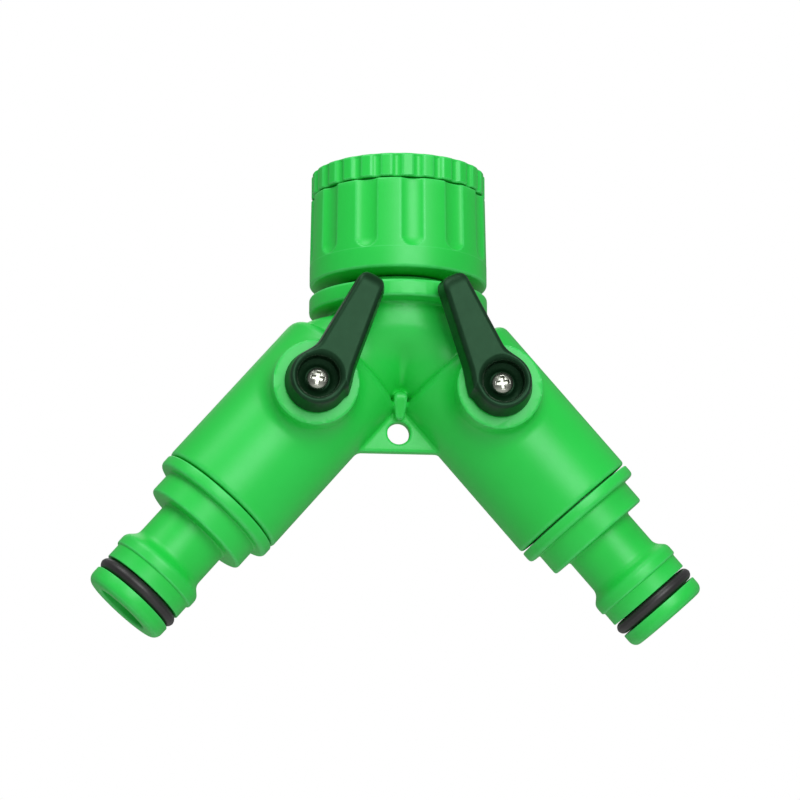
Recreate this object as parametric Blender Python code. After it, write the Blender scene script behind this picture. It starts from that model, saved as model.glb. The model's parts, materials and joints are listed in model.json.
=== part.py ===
"""A two-way hose splitter with a lever valve in each outlet arm.

It hangs from a garden tap. The inlet collar and its screw-in thread reducer point up, and two valve arms
point down and out to quick-connect spigots. The origin is the centre of the inlet's mouth, in the plane of
the reducer's top face. +Z is up along the inlet's axis, +X runs towards the right arm, and -Y is the front,
where the levers are. Sizes are in metres. Heights in the constants below are above the junction, where the
inlet's axis and both arms' axes meet; stations run from the junction along an arm; depths run from a
valve's centre to the front.
"""

import math

import bmesh
import bpy
from mathutils import Matrix

MM = 0.001
GAP = 0.3 * MM  # between pieces that touch
SEAL_GAP = 0.15 * MM  # between a small seal and its groove

# Layout
INLET_TO_JUNCTION = 24.15 * MM
ARM_ANGLE = math.radians(41.05)  # between an arm and the inlet's axis
VALVE_STATION = 23.8 * MM
VALVE_RISE = 0.4 * MM  # of a valve's centre above its arm's axis, away from the other arm
LEVER_LEAN = {"left": math.radians(28.2), "right": math.radians(-25.6)}  # off the vertical, at rest
SIDES = {"left": 1, "right": -1}  # which way an arm turns about Y from straight down

# Parallel pipe threads, 14 to the inch: 3/4 inch outside the reducer, 1/2 inch in its bore
PITCH = 1.814 * MM
THREAD_DEPTH = 1.1 * MM
COLLAR_THREAD_MINOR = 12.0 * MM
TAP_THREAD_MINOR = 9.45 * MM
ROWS_PER_PITCH = 6
THREAD_SIDES = 24

# Swivel collar
COLLAR_BOTTOM = 3.4 * MM
COLLAR_TOP = 19.7 * MM
COLLAR_RADIUS = 15.85 * MM
COLLAR_GRIP_RADIUS = 15.7 * MM
COLLAR_CHAMFER = 0.5 * MM
LIP_TOP = 5.9 * MM
LIP_RADIUS = 9.2 * MM
COLLAR_THREAD_BOTTOM = 11.0 * MM
FLUTES = 12
FLUTE_DEPTH = 0.55 * MM
FLUTE_HALF_WIDTH = math.radians(7.0)
FLUTE_BOTTOM = 6.7 * MM
FLUTE_PHASE = math.radians(-90.0 + 3.0)  # of one flute, a little right of the front

# Thread reducer
HEAD_RADIUS = 15.6 * MM
HEAD_RIBS = 26
HEAD_RIB_DEPTH = 0.35 * MM
HEAD_BEVEL = 0.3 * MM
REDUCER_BOTTOM = 11.1 * MM
SHELF_TOP = 13.1 * MM
SHELF_BORE = 6.5 * MM
WASHER_ROOM = 2.6 * MM  # above the shelf, under the tap's thread

# Splitter body
FLANGE_RADIUS = 15.9 * MM
FLANGE_TOP = 1.25 * MM
FLANGE_BOTTOM = -1.75 * MM
FLANGE_ROUND = 0.4 * MM
RIM_RADIUS = 10.6 * MM
TRUNK_RADIUS = 11.8 * MM
ARM_TOP_CUT = -3.7 * MM
ARM_RADIUS = 12.0 * MM
ARM_ROOT_RADIUS = 10.5 * MM
ARM_ROOT_END = 14.4 * MM
ARM_END = 47.5 * MM
SOCKET_RADIUS = 9.1 * MM
SOCKET_FLOOR = -7.0 * MM
BODY_BORE = 6.5 * MM
BODY_BORE_FLOOR = -9.5 * MM
PASSAGE_RADIUS = 4.6 * MM
CHAMBER_RADIUS = 9.0 * MM
CHAMBER_START = 14.5 * MM
EAR_TOP = -15.0 * MM
EAR_BOTTOM = -26.6 * MM
EAR_THICKNESS = 2.4 * MM
EAR_HOLE_HEIGHT = -23.15 * MM
EAR_HOLE_RADIUS = 2.0 * MM
EAR_FOOT_HALF = 9.1 * MM
EAR_TOP_HALF = 3.0 * MM
SPINE_FOOT = (-1.4 * MM, -21.0 * MM)  # y and height
SPINE_LEAN = math.radians(28.0)
SPINE_LENGTH = 5.4 * MM
SPINE_TOP_RADIUS = 1.4 * MM
SPINE_FOOT_RADIUS = 0.9 * MM

# Insert that holds the collar on the body
SLEEVE_BORE = 6.9 * MM
SLEEVE_FLANGE_RADIUS = 11.6 * MM
SLEEVE_FLANGE = 1.8 * MM

# Valve and lever depths and radii
BOSS_RADIUS = 7.5 * MM
BOSS_FRONT = 16.4 * MM
BALL_RADIUS = 7.6 * MM
BALL_BORE = 4.4 * MM
SEAT_BACK = 9.1 * MM
SEAT_RIM = 5.0 * MM
SEAT_ANGLE_GAP = math.radians(2.0)  # between a seat's round face and its rim
SLOT_DEPTH = 5.6 * MM
TANG_WIDTH = 1.8 * MM
TANG_LENGTH = 5.6 * MM
STEM_FLANGE_BACK = 7.9 * MM
STEM_FLANGE_FRONT = 9.3 * MM
STEM_FLANGE_RADIUS = 4.2 * MM
STEM_RADIUS = 3.0 * MM
STEM_GROOVE_RADIUS = 2.3 * MM
STEM_GROOVE = 14.0 * MM
STEM_SEAL_THICKNESS = 0.7 * MM
SHANK_SIDE = 3.8 * MM
SHANK_FRONT = 17.3 * MM
RECESS_FLOOR = 18.1 * MM
RECESS_RADIUS = 3.65 * MM
HUB_RADIUS = 5.55 * MM
LEVER_FRONT = 21.6 * MM
BLADE_DRAFT = 0.5 * MM  # how far the lever's sides lean in from its back to its front
HUB_DRAFT = 0.85 * MM
LEVER_LENGTH = 21.1 * MM
LEVER_ROOT_HALF = 3.3 * MM
LEVER_TIP_HALF = 2.55 * MM
LEVER_HOLLOW_RADIUS = 5.0 * MM
SCREW_HEAD_RADIUS = 1.9 * MM
SCREW_CROWN_RADIUS = 1.15 * MM
SCREW_HEAD = 1.2 * MM
SCREW_RADIUS = 0.8 * MM
SCREW_POINT = 13.0 * MM

# Outlet spigot
SPIGOT_BORE = 4.7 * MM
SLEEVE_PLUG_RADIUS = 8.7 * MM
BODY_SEAL_STATION = 40.0 * MM
BODY_SEAL_RADIUS = 8.2 * MM
BODY_SEAL_THICKNESS = 1.3 * MM
SPIGOT_FLANGE_END = 50.0 * MM
SPIGOT_STEP_RADIUS = 10.0 * MM
SPIGOT_STEP_END = 54.4 * MM
SPIGOT_NECK_RADIUS = 6.75 * MM
SPIGOT_NECK_END = 61.6 * MM
SPIGOT_BEAD_RADIUS = 8.4 * MM
SPIGOT_BEAD_START = 63.15 * MM
SPIGOT_BEAD_END = 65.1 * MM
SPIGOT_LAND_RADIUS = 8.0 * MM
SPIGOT_END = 73.3 * MM
HOSE_SEAL_STATION = 69.2 * MM
HOSE_SEAL_RADIUS = 7.1 * MM
HOSE_SEAL_THICKNESS = 2.2 * MM

# Straight sides in a full turn
SMALL_SIDES = 12
BORE_SIDES = 20
ROUND_SIDES = 28


def plain_material(name, colour, roughness, metallic=0.0):
    """A Principled material of one colour."""
    material = bpy.data.materials.new(name)
    material.use_nodes = True
    shader = material.node_tree.nodes["Principled BSDF"]
    shader.inputs["Base Color"].default_value = (*colour, 1.0)
    shader.inputs["Roughness"].default_value = roughness
    shader.inputs["Metallic"].default_value = metallic
    return material


def add_object(name, builder, material=None, parent=None):
    """Makes an object from a bmesh, smooth on its round sides, in its parent's frame."""
    bmesh.ops.recalc_face_normals(builder, faces=builder.faces)
    mesh = bpy.data.meshes.new(name)
    builder.to_mesh(mesh)
    builder.free()
    mesh.shade_smooth()
    mesh.set_sharp_from_angle(angle=math.radians(35))
    if material:
        mesh.materials.append(material)
    obj = bpy.data.objects.new(name, mesh)
    bpy.context.scene.collection.objects.link(obj)
    obj.parent = parent
    return obj


def add_empty(name, location, turn_about_y=0.0, parent=None):
    """Makes an empty that carries a sub-assembly's frame."""
    empty = bpy.data.objects.new(name, None)
    bpy.context.scene.collection.objects.link(empty)
    empty.location = location
    empty.rotation_euler = (0.0, turn_about_y, 0.0)
    empty.parent = parent
    return empty


def combine(obj, operation, helpers):
    """Adds one exact Boolean to obj for each helper solid."""
    for other in helpers:
        other.hide_render = True
        other.display_type = "WIRE"
        modifier = obj.modifiers.new(other.name, "BOOLEAN")
        modifier.operation = operation
        modifier.solver = "EXACT"
        modifier.object = other


def bridge(builder, lower, upper):
    """Joins two rings of vertices, whose counts may differ."""
    if len(lower) == len(upper):
        for step in range(len(lower)):
            after = (step + 1) % len(lower)
            builder.faces.new((lower[step], lower[after], upper[after], upper[step]))
        return
    low = high = 0
    while low < len(lower) or high < len(upper):
        if high == len(upper) or (low < len(lower) and (low + 1) * len(upper) <= (high + 1) * len(lower)):
            corners = (lower[low], lower[(low + 1) % len(lower)], upper[high % len(upper)])
            low += 1
        else:
            corners = (lower[low % len(lower)], upper[(high + 1) % len(upper)], upper[high])
            high += 1
        builder.faces.new(corners)


def turned(profile, sides):
    """Turns a profile round Z. Each row is (radius, height) or (radius, height, angles), where radius may be
    a function of the angle and angles replaces the even division into sides. A profile that starts and ends
    at radius 0 is solid, and any other closes on itself as a ring."""
    builder = bmesh.new()
    even = [math.tau * (step + 0.5) / sides for step in range(sides)]
    rings = []
    for radius, height, *angles in profile:
        if radius == 0:
            rings.append([builder.verts.new((0.0, 0.0, height))])
            continue
        ring = []
        for angle in angles[0] if angles else even:
            reach = radius(angle) if callable(radius) else radius
            ring.append(builder.verts.new((reach * math.cos(angle), reach * math.sin(angle), height)))
        rings.append(ring)
    pairs = list(zip(rings, rings[1:]))
    if len(rings[0]) > 1:
        pairs.append((rings[-1], rings[0]))
    for lower, upper in pairs:
        if len(lower) == 1 or len(upper) == 1:
            pole, ring = (lower[0], upper) if len(lower) == 1 else (upper[0], lower)
            for step, corner in enumerate(ring):
                builder.faces.new((pole, corner, ring[(step + 1) % len(ring)]))
        else:
            bridge(builder, lower, upper)
    return builder


def to_front(builder):
    """Lays a mesh that was turned round Z along -Y, so that its heights become depths."""
    builder.transform(Matrix.Rotation(math.radians(90), 4, "X"))
    return builder


def rod(radius, low, high, sides):
    """A plain cylinder along Z."""
    return turned([(0, low), (radius, low), (radius, high), (0, high)], sides)


def torus(radius, thickness, height, sides=ROUND_SIDES, section=8):
    """A sealing ring round Z."""
    rows = []
    for step in range(section):
        angle = math.tau * step / section
        rows.append((radius + thickness / 2 * math.cos(angle), height + thickness / 2 * math.sin(angle)))
    return turned(rows, sides)


def washer(inner, outer, low, high, sides=ROUND_SIDES):
    """A flat ring round Z."""
    return turned([(inner, low), (outer, low), (outer, high), (inner, high)], sides)


def box(size, centre):
    """A box from its three sides and its centre."""
    builder = bmesh.new()
    bmesh.ops.create_cube(builder, size=1.0, matrix=Matrix.Translation(centre) @ Matrix.Diagonal((*size, 1.0)))
    return builder


def prism(back, front, low, high):
    """A solid between an (x, z) outline at depth low and another, of as many points, at depth high."""
    builder = bmesh.new()
    lower = [builder.verts.new((x, -low, z)) for x, z in back]
    upper = [builder.verts.new((x, -high, z)) for x, z in front]
    builder.faces.new(lower)
    builder.faces.new(upper)
    bridge(builder, lower, upper)
    return builder


def thread_rows(bottom, top, minor, cut):
    """Rows of a right-handed thread between two heights. Both members follow one wave, so that they mesh. The
    ridge of a male thread fades out at its ends, and the groove of a female one, which is cut, widens out."""
    count = round((top - bottom) / PITCH * ROWS_PER_PITCH)
    rows = []
    for step in range(1, count):
        height = bottom + (top - bottom) * step / count
        fade = min(1.0, (height - bottom) / PITCH, (top - height) / PITCH)

        def reach(angle, height=height, fade=fade):
            wave = 0.5 + 0.5 * math.cos(math.tau * height / PITCH - angle)
            share = 1.0 - (1.0 - wave) * fade if cut else wave * fade
            return minor + THREAD_DEPTH * share

        rows.append((reach, height))
    return rows


def arc(centre, radius, start, end, steps):
    """Points of an arc, with both its ends, from angles in degrees."""
    points = []
    for step in range(steps + 1):
        angle = math.radians(start + (end - start) * step / steps)
        points.append((centre[0] + radius * math.cos(angle), centre[1] + radius * math.sin(angle)))
    return points


def valve_centre(side):
    """A valve's centre in its arm's frame."""
    return -SIDES[side] * VALVE_RISE, 0.0, -VALVE_STATION


def build_housing(junction, arms, material):
    """The moulded body: a flange, two arms with a boss each, an ear between them, and the water's ways."""
    middle = FLANGE_RADIUS - FLANGE_ROUND
    housing = add_object("body_housing", turned([
        (0, COLLAR_BOTTOM - GAP), (RIM_RADIUS, COLLAR_BOTTOM - GAP), (RIM_RADIUS, FLANGE_TOP),
        (middle, FLANGE_TOP), (FLANGE_RADIUS, FLANGE_TOP - FLANGE_ROUND),
        (FLANGE_RADIUS, FLANGE_BOTTOM + FLANGE_ROUND), (middle, FLANGE_BOTTOM),
        (TRUNK_RADIUS, FLANGE_BOTTOM), (TRUNK_RADIUS, BODY_BORE_FLOOR), (0, BODY_BORE_FLOOR),
    ], ROUND_SIDES), material, junction)
    top_cut = add_object("arm_top_cut", box(
        (4 * ARM_RADIUS, 4 * ARM_RADIUS, 2 * ARM_RADIUS), (0.0, 0.0, ARM_TOP_CUT + ARM_RADIUS)), None, junction)
    tubes = []
    bosses = []
    water_ways = []
    stem_ways = []
    for side, arm in arms.items():
        tubes.append(add_object(side + "_arm_tube", turned([
            (0, 0.0), (ARM_ROOT_RADIUS, 0.0), (ARM_ROOT_RADIUS, -ARM_ROOT_END), (ARM_RADIUS, -ARM_ROOT_END),
            (ARM_RADIUS, -ARM_END), (0, -ARM_END),
        ], ROUND_SIDES), None, arm))
        boss = to_front(rod(BOSS_RADIUS, 0.0, BOSS_FRONT, BORE_SIDES))
        bmesh.ops.translate(boss, verts=boss.verts, vec=valve_centre(side))
        bosses.append(add_object(side + "_boss", boss, None, arm))
        pocket = STEM_FLANGE_FRONT + GAP
        stem_way = to_front(turned([
            (0, 0.0), (STEM_FLANGE_RADIUS + GAP, 0.0), (STEM_FLANGE_RADIUS + GAP, pocket),
            (STEM_RADIUS + GAP, pocket), (STEM_RADIUS + GAP, BOSS_FRONT + MM), (0, BOSS_FRONT + MM),
        ], BORE_SIDES))
        bmesh.ops.translate(stem_way, verts=stem_way.verts, vec=valve_centre(side))
        water_way = turned([
            (0, 0.0), (PASSAGE_RADIUS, 0.0), (PASSAGE_RADIUS, -CHAMBER_START), (CHAMBER_RADIUS, -CHAMBER_START),
            (CHAMBER_RADIUS, -ARM_END - MM), (0, -ARM_END - MM),
        ], BORE_SIDES)
        water_ways.append(add_object(side + "_water_way", water_way, None, arm))
        stem_ways.append(add_object(side + "_stem_way", stem_way, None, arm))
    plate = [(-EAR_FOOT_HALF, EAR_BOTTOM), (EAR_FOOT_HALF, EAR_BOTTOM), (EAR_TOP_HALF, EAR_TOP),
             (-EAR_TOP_HALF, EAR_TOP)]
    ear = add_object("ear_plate", prism(plate, plate, -EAR_THICKNESS / 2, EAR_THICKNESS / 2), None, junction)
    spine = add_object("ear_spine", turned([
        (0, 0.0), (SPINE_FOOT_RADIUS, 0.0), (SPINE_TOP_RADIUS, SPINE_LENGTH), (0, SPINE_LENGTH),
    ], SMALL_SIDES), None, junction)
    spine.location = (0.0, *SPINE_FOOT)
    spine.rotation_euler.x = SPINE_LEAN
    combine(tubes[0], "UNION", tubes[1:])
    combine(tubes[0], "DIFFERENCE", [top_cut])
    combine(housing, "UNION", [tubes[0]] + bosses + [ear, spine])
    inlet_way = add_object("inlet_way", turned([
        (0, COLLAR_TOP), (SOCKET_RADIUS, COLLAR_TOP), (SOCKET_RADIUS, SOCKET_FLOOR),
        (BODY_BORE, SOCKET_FLOOR), (BODY_BORE, BODY_BORE_FLOOR + MM), (0, BODY_BORE_FLOOR),
    ], BORE_SIDES), None, junction)
    ear_hole = to_front(rod(EAR_HOLE_RADIUS, -EAR_THICKNESS, 2 * EAR_THICKNESS, SMALL_SIDES))
    bmesh.ops.translate(ear_hole, verts=ear_hole.verts, vec=(0.0, 0.0, EAR_HOLE_HEIGHT))
    combine(inlet_way, "UNION", water_ways + stem_ways)
    combine(housing, "DIFFERENCE", [inlet_way, add_object("ear_hole", ear_hole, None, junction)])


def build_inlet(junction, green, rubber):
    """The swivel collar, the flanged sleeve that holds it, the thread reducer and both washers."""
    flute_angles = []
    for flute in range(FLUTES):
        centre = FLUTE_PHASE + math.tau * flute / FLUTES
        flute_angles += [centre - FLUTE_HALF_WIDTH, centre, centre + FLUTE_HALF_WIDTH,
                         centre + math.pi / FLUTES]

    def fluted(angle):
        nearest = round((angle - FLUTE_PHASE) / (math.tau / FLUTES)) * math.tau / FLUTES + FLUTE_PHASE
        return COLLAR_GRIP_RADIUS - (FLUTE_DEPTH if abs(angle - nearest) < FLUTE_HALF_WIDTH / 2 else 0.0)

    thread_minor = COLLAR_THREAD_MINOR + GAP
    thread_root = thread_minor + THREAD_DEPTH
    even = [flute_angles[0] + math.tau * step / THREAD_SIDES for step in range(THREAD_SIDES)]
    inside = [(thread_root, COLLAR_THREAD_BOTTOM)]
    inside += thread_rows(COLLAR_THREAD_BOTTOM, COLLAR_TOP, thread_minor, cut=True)
    inside += [(thread_root, COLLAR_TOP)]
    rows = [(radius, height, even) for radius, height in [(LIP_RADIUS, COLLAR_BOTTOM), (LIP_RADIUS, LIP_TOP),
                                                          (thread_root, LIP_TOP)] + inside]
    rows += [(fluted, COLLAR_TOP, flute_angles), (fluted, FLUTE_BOTTOM + MM, flute_angles),
             (COLLAR_RADIUS, FLUTE_BOTTOM, flute_angles),
             (COLLAR_RADIUS, COLLAR_BOTTOM + COLLAR_CHAMFER, flute_angles),
             (COLLAR_RADIUS - COLLAR_CHAMFER, COLLAR_BOTTOM, flute_angles)]
    add_object("swivel_collar", turned(rows, THREAD_SIDES), green, junction)

    tube = SOCKET_RADIUS - GAP
    flange_bottom = LIP_TOP + GAP
    flange_top = flange_bottom + SLEEVE_FLANGE
    add_object("inlet_sleeve", turned([
        (SLEEVE_BORE, SOCKET_FLOOR + GAP), (tube, SOCKET_FLOOR + GAP), (tube, flange_bottom),
        (SLEEVE_FLANGE_RADIUS, flange_bottom), (SLEEVE_FLANGE_RADIUS, flange_top), (SLEEVE_BORE, flange_top),
    ], ROUND_SIDES), green, junction)
    add_object("collar_washer", washer(
        SLEEVE_BORE, SLEEVE_FLANGE_RADIUS, flange_top + GAP, REDUCER_BOTTOM - GAP), rubber, junction)

    head_angles = [math.tau * step / (2 * HEAD_RIBS) for step in range(2 * HEAD_RIBS)]

    def ribbed(angle):
        return HEAD_RADIUS - HEAD_RIB_DEPTH * (round(angle / head_angles[1]) % 2)

    head_bottom = COLLAR_TOP + GAP
    head_top = INLET_TO_JUNCTION
    tap_root = TAP_THREAD_MINOR + THREAD_DEPTH
    head_neck = COLLAR_THREAD_MINOR + THREAD_DEPTH / 2
    even = [math.tau * step / THREAD_SIDES for step in range(THREAD_SIDES)]
    outside = [(SHELF_BORE, REDUCER_BOTTOM), (COLLAR_THREAD_MINOR, REDUCER_BOTTOM)]
    outside += thread_rows(REDUCER_BOTTOM, COLLAR_TOP, COLLAR_THREAD_MINOR, cut=False)
    outside += [(head_neck, head_bottom)]
    rows = [(radius, height, even) for radius, height in outside]
    rows += [(ribbed, head_bottom, head_angles), (ribbed, head_top - HEAD_BEVEL, head_angles),
             (HEAD_RADIUS - HEAD_RIB_DEPTH - HEAD_BEVEL, head_top, head_angles)]
    bore = [(tap_root, head_top)]
    bore += reversed(thread_rows(SHELF_TOP + WASHER_ROOM, head_top, TAP_THREAD_MINOR, cut=True))
    bore += [(tap_root, SHELF_TOP + WASHER_ROOM), (tap_root, SHELF_TOP), (SHELF_BORE, SHELF_TOP)]
    rows += [(radius, height, even) for radius, height in bore]
    add_object("reducer_ring", turned(rows, THREAD_SIDES), green, junction)
    add_object("reducer_washer", washer(
        SHELF_BORE, tap_root - GAP, SHELF_TOP + GAP, SHELF_TOP + WASHER_ROOM - GAP), rubber, junction)


def build_valve(side, arm, palette):
    """A ball valve with its seats, stem and seal, in an arm's frame, with the ball's centre at its origin."""
    valve = add_empty(side + "_valve", valve_centre(side), 0.0, arm)
    ball = BALL_RADIUS
    edge = math.acos(BALL_BORE / ball)
    rows = []
    for step in range(9):
        angle = -edge + 2 * edge * step / 8
        rows.append((ball * math.cos(angle), ball * math.sin(angle)))
    ball_obj = add_object(side + "_valve_ball", turned(rows, BORE_SIDES), palette["acetal"], valve)
    slot = add_object(side + "_ball_slot", box(
        (TANG_LENGTH * 2, ball, TANG_WIDTH + 2 * GAP), (0.0, -SLOT_DEPTH - ball / 2, 0.0)), None, valve)
    combine(ball_obj, "DIFFERENCE", [slot])

    clear = ball + GAP
    seat_radius = CHAMBER_RADIUS - GAP - VALVE_RISE
    start = math.acos(SEAT_RIM / clear) - SEAT_ANGLE_GAP
    end = math.asin(PASSAGE_RADIUS / clear)
    for name, way in (("inlet_seat", 1), ("outlet_seat", -1)):
        seat = [(PASSAGE_RADIUS, way * SEAT_BACK), (seat_radius, way * SEAT_BACK), (seat_radius, way * SEAT_RIM)]
        for step in range(4):
            angle = start + (end - start) * step / 3
            seat.append((clear * math.sin(angle), way * max(clear * math.cos(angle), SEAT_RIM)))
        add_object(side + "_" + name, turned(seat, BORE_SIDES), palette["acetal"], valve)

    groove = STEM_SEAL_THICKNESS / 2 + SEAL_GAP
    stem = add_object(side + "_valve_stem", to_front(turned([
        (0, STEM_FLANGE_BACK), (STEM_FLANGE_RADIUS, STEM_FLANGE_BACK), (STEM_FLANGE_RADIUS, STEM_FLANGE_FRONT),
        (STEM_RADIUS, STEM_FLANGE_FRONT), (STEM_RADIUS, STEM_GROOVE - groove),
        (STEM_GROOVE_RADIUS, STEM_GROOVE - groove), (STEM_GROOVE_RADIUS, STEM_GROOVE + groove),
        (STEM_RADIUS, STEM_GROOVE + groove), (STEM_RADIUS, BOSS_FRONT), (0, BOSS_FRONT),
    ], BORE_SIDES)), palette["steel"], valve)
    tang_back = SLOT_DEPTH + GAP
    tang = add_object(side + "_tang", box(
        (TANG_LENGTH, STEM_FLANGE_FRONT - tang_back, TANG_WIDTH),
        (0.0, -(STEM_FLANGE_FRONT + tang_back) / 2, 0.0)), None, valve)
    shank = add_object(side + "_shank", box(
        (SHANK_SIDE, SHANK_FRONT - BOSS_FRONT + MM, SHANK_SIDE),
        (0.0, -(SHANK_FRONT + BOSS_FRONT - MM) / 2, 0.0)), None, valve)
    combine(stem, "UNION", [tang, shank])
    pilot = add_object(side + "_pilot", to_front(
        rod(SCREW_RADIUS + GAP, SCREW_POINT - GAP, LEVER_FRONT, SMALL_SIDES)), None, valve)
    combine(stem, "DIFFERENCE", [pilot])
    seal_radius = (STEM_GROOVE_RADIUS + STEM_RADIUS + GAP) / 2
    add_object(side + "_stem_oring", to_front(
        torus(seal_radius, STEM_SEAL_THICKNESS, STEM_GROOVE, SMALL_SIDES, 6)), palette["rubber"], valve)


def lever_outline(side, share):
    """A lever's outline from the front, pointing up, with a share of its draft. Its inner side is straight, and
    its outer side runs to the hub in a hollow curve."""
    tip_half = LEVER_TIP_HALF - share * BLADE_DRAFT
    hub_radius = HUB_RADIUS - share * HUB_DRAFT
    hollow_radius = LEVER_HOLLOW_RADIUS + share * BLADE_DRAFT
    hollow_x = LEVER_ROOT_HALF + LEVER_HOLLOW_RADIUS
    reach = math.sqrt((hub_radius + hollow_radius) ** 2 - hollow_x ** 2)
    meet = math.degrees(math.atan2(reach, hollow_x))
    hub = arc((0.0, 0.0), hub_radius, -180, meet, 16)
    hollow = arc((hollow_x, reach), hollow_radius, 180 + meet, 180, 4)
    tip = arc((0.0, LEVER_LENGTH - LEVER_TIP_HALF), tip_half, 0, 180, 6)
    return [(SIDES[side] * -x, z) for x, z in hub + hollow[1:] + tip]


def build_lever(side, arm, palette):
    """A lever with its hub on the stem's square end, and the screw that holds it."""
    lean = LEVER_LEAN[side]
    turn = lean - SIDES[side] * ARM_ANGLE
    pivot = add_empty(side + "_lever_pivot", valve_centre(side), turn, arm)
    lever = add_object(side + "_lever", prism(
        lever_outline(side, 0.0), lever_outline(side, 1.0), BOSS_FRONT + GAP, LEVER_FRONT),
        palette["lever"], pivot)
    recess = add_object(side + "_recess", to_front(
        rod(RECESS_RADIUS, RECESS_FLOOR, LEVER_FRONT + MM, BORE_SIDES)), None, pivot)
    screw_way = add_object(side + "_screw_way", to_front(
        rod(SCREW_RADIUS + GAP, BOSS_FRONT, LEVER_FRONT, SMALL_SIDES)), None, pivot)
    socket_side = SHANK_SIDE + 2 * GAP
    socket = add_object(side + "_socket", box(
        (socket_side, 2 * (SHANK_FRONT + GAP - BOSS_FRONT), socket_side), (0.0, -BOSS_FRONT, 0.0)), None, pivot)
    socket.rotation_euler.y = -turn
    combine(lever, "DIFFERENCE", [recess, screw_way, socket])
    seat = RECESS_FLOOR + GAP
    add_object(side + "_lever_screw", to_front(turned([
        (0, SCREW_POINT), (SCREW_RADIUS, SCREW_POINT + SCREW_RADIUS), (SCREW_RADIUS, seat),
        (SCREW_HEAD_RADIUS, seat), (SCREW_HEAD_RADIUS, seat + SCREW_HEAD / 2),
        (SCREW_CROWN_RADIUS, seat + SCREW_HEAD), (0, seat + SCREW_HEAD),
    ], SMALL_SIDES)), palette["steel"], pivot)


def build_spigot(side, arm, palette):
    """The push-in outlet spigot, with its seal in the body and the seal for the hose connector."""
    body_groove = BODY_SEAL_THICKNESS / 2 + SEAL_GAP
    body_floor = BODY_SEAL_RADIUS - body_groove
    hose_groove = HOSE_SEAL_THICKNESS / 2 + SEAL_GAP
    hose_floor = HOSE_SEAL_RADIUS - hose_groove
    flange = ARM_END + GAP
    tip = SPIGOT_LAND_RADIUS - 0.7 * MM
    stations = [
        (SPIGOT_BORE, VALVE_STATION + SEAT_BACK + GAP), (SLEEVE_PLUG_RADIUS, VALVE_STATION + SEAT_BACK + GAP),
        (SLEEVE_PLUG_RADIUS, BODY_SEAL_STATION - body_groove), (body_floor, BODY_SEAL_STATION - body_groove),
        (body_floor, BODY_SEAL_STATION + body_groove), (SLEEVE_PLUG_RADIUS, BODY_SEAL_STATION + body_groove),
        (SLEEVE_PLUG_RADIUS, flange), (ARM_RADIUS, flange), (ARM_RADIUS, SPIGOT_FLANGE_END - 0.5 * MM),
        (ARM_RADIUS - 0.5 * MM, SPIGOT_FLANGE_END), (SPIGOT_STEP_RADIUS, SPIGOT_FLANGE_END),
        (SPIGOT_STEP_RADIUS, SPIGOT_STEP_END), (SPIGOT_NECK_RADIUS, SPIGOT_STEP_END),
        (SPIGOT_NECK_RADIUS, SPIGOT_NECK_END), (SPIGOT_BEAD_RADIUS, SPIGOT_BEAD_START),
        (SPIGOT_BEAD_RADIUS, SPIGOT_BEAD_END), (SPIGOT_LAND_RADIUS, SPIGOT_BEAD_END),
        (SPIGOT_LAND_RADIUS, HOSE_SEAL_STATION - hose_groove), (hose_floor, HOSE_SEAL_STATION - hose_groove),
        (hose_floor, HOSE_SEAL_STATION + hose_groove), (SPIGOT_LAND_RADIUS, HOSE_SEAL_STATION + hose_groove),
        (SPIGOT_LAND_RADIUS, SPIGOT_END - MM), (tip, SPIGOT_END), (SPIGOT_BORE, SPIGOT_END),
    ]
    add_object(side + "_outlet_spigot", turned(
        [(radius, -station) for radius, station in stations], ROUND_SIDES), palette["green"], arm)
    add_object(side + "_body_oring", torus(
        BODY_SEAL_RADIUS, BODY_SEAL_THICKNESS, -BODY_SEAL_STATION, BORE_SIDES, 6), palette["rubber"], arm)
    add_object(side + "_hose_oring", torus(
        HOSE_SEAL_RADIUS, HOSE_SEAL_THICKNESS, -HOSE_SEAL_STATION), palette["rubber"], arm)


def main():
    """Builds the splitter."""
    for obj in list(bpy.data.objects):
        bpy.data.objects.remove(obj)
    palette = {
        "green": plain_material("green_plastic", (0.04, 0.62, 0.09), 0.35),
        "lever": plain_material("lever_plastic", (0.012, 0.02, 0.018), 0.4),
        "rubber": plain_material("black_rubber", (0.01, 0.01, 0.01), 0.6),
        "acetal": plain_material("white_acetal", (0.8, 0.8, 0.78), 0.3),
        "steel": plain_material("bright_steel", (0.6, 0.6, 0.6), 0.25, 1.0),
    }
    junction = add_empty("junction", (0.0, 0.0, -INLET_TO_JUNCTION))
    arms = {side: add_empty(side + "_arm", (0.0, 0.0, 0.0), way * ARM_ANGLE, junction)
            for side, way in SIDES.items()}
    build_housing(junction, arms, palette["green"])
    build_inlet(junction, palette["green"], palette["rubber"])
    for side, arm in arms.items():
        build_valve(side, arm, palette)
        build_lever(side, arm, palette)
        build_spigot(side, arm, palette)


main()
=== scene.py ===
"""The looks of a two-way garden hose splitter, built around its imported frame.

The green moulded body, the spigots, the levers and the screws are fine meshes that stand for the plain
solids of the frame. Sizes are in metres. In a piece's own frame the inlet's axis or the arm's axis is Z, and
the front, where the levers are, is -Y.
"""

import json
import logging
import math
from dataclasses import dataclass
from enum import Enum
from typing import Callable, Iterable, Sequence

import bmesh
import bpy
import numpy as np
from mathutils import Matrix, Vector

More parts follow.
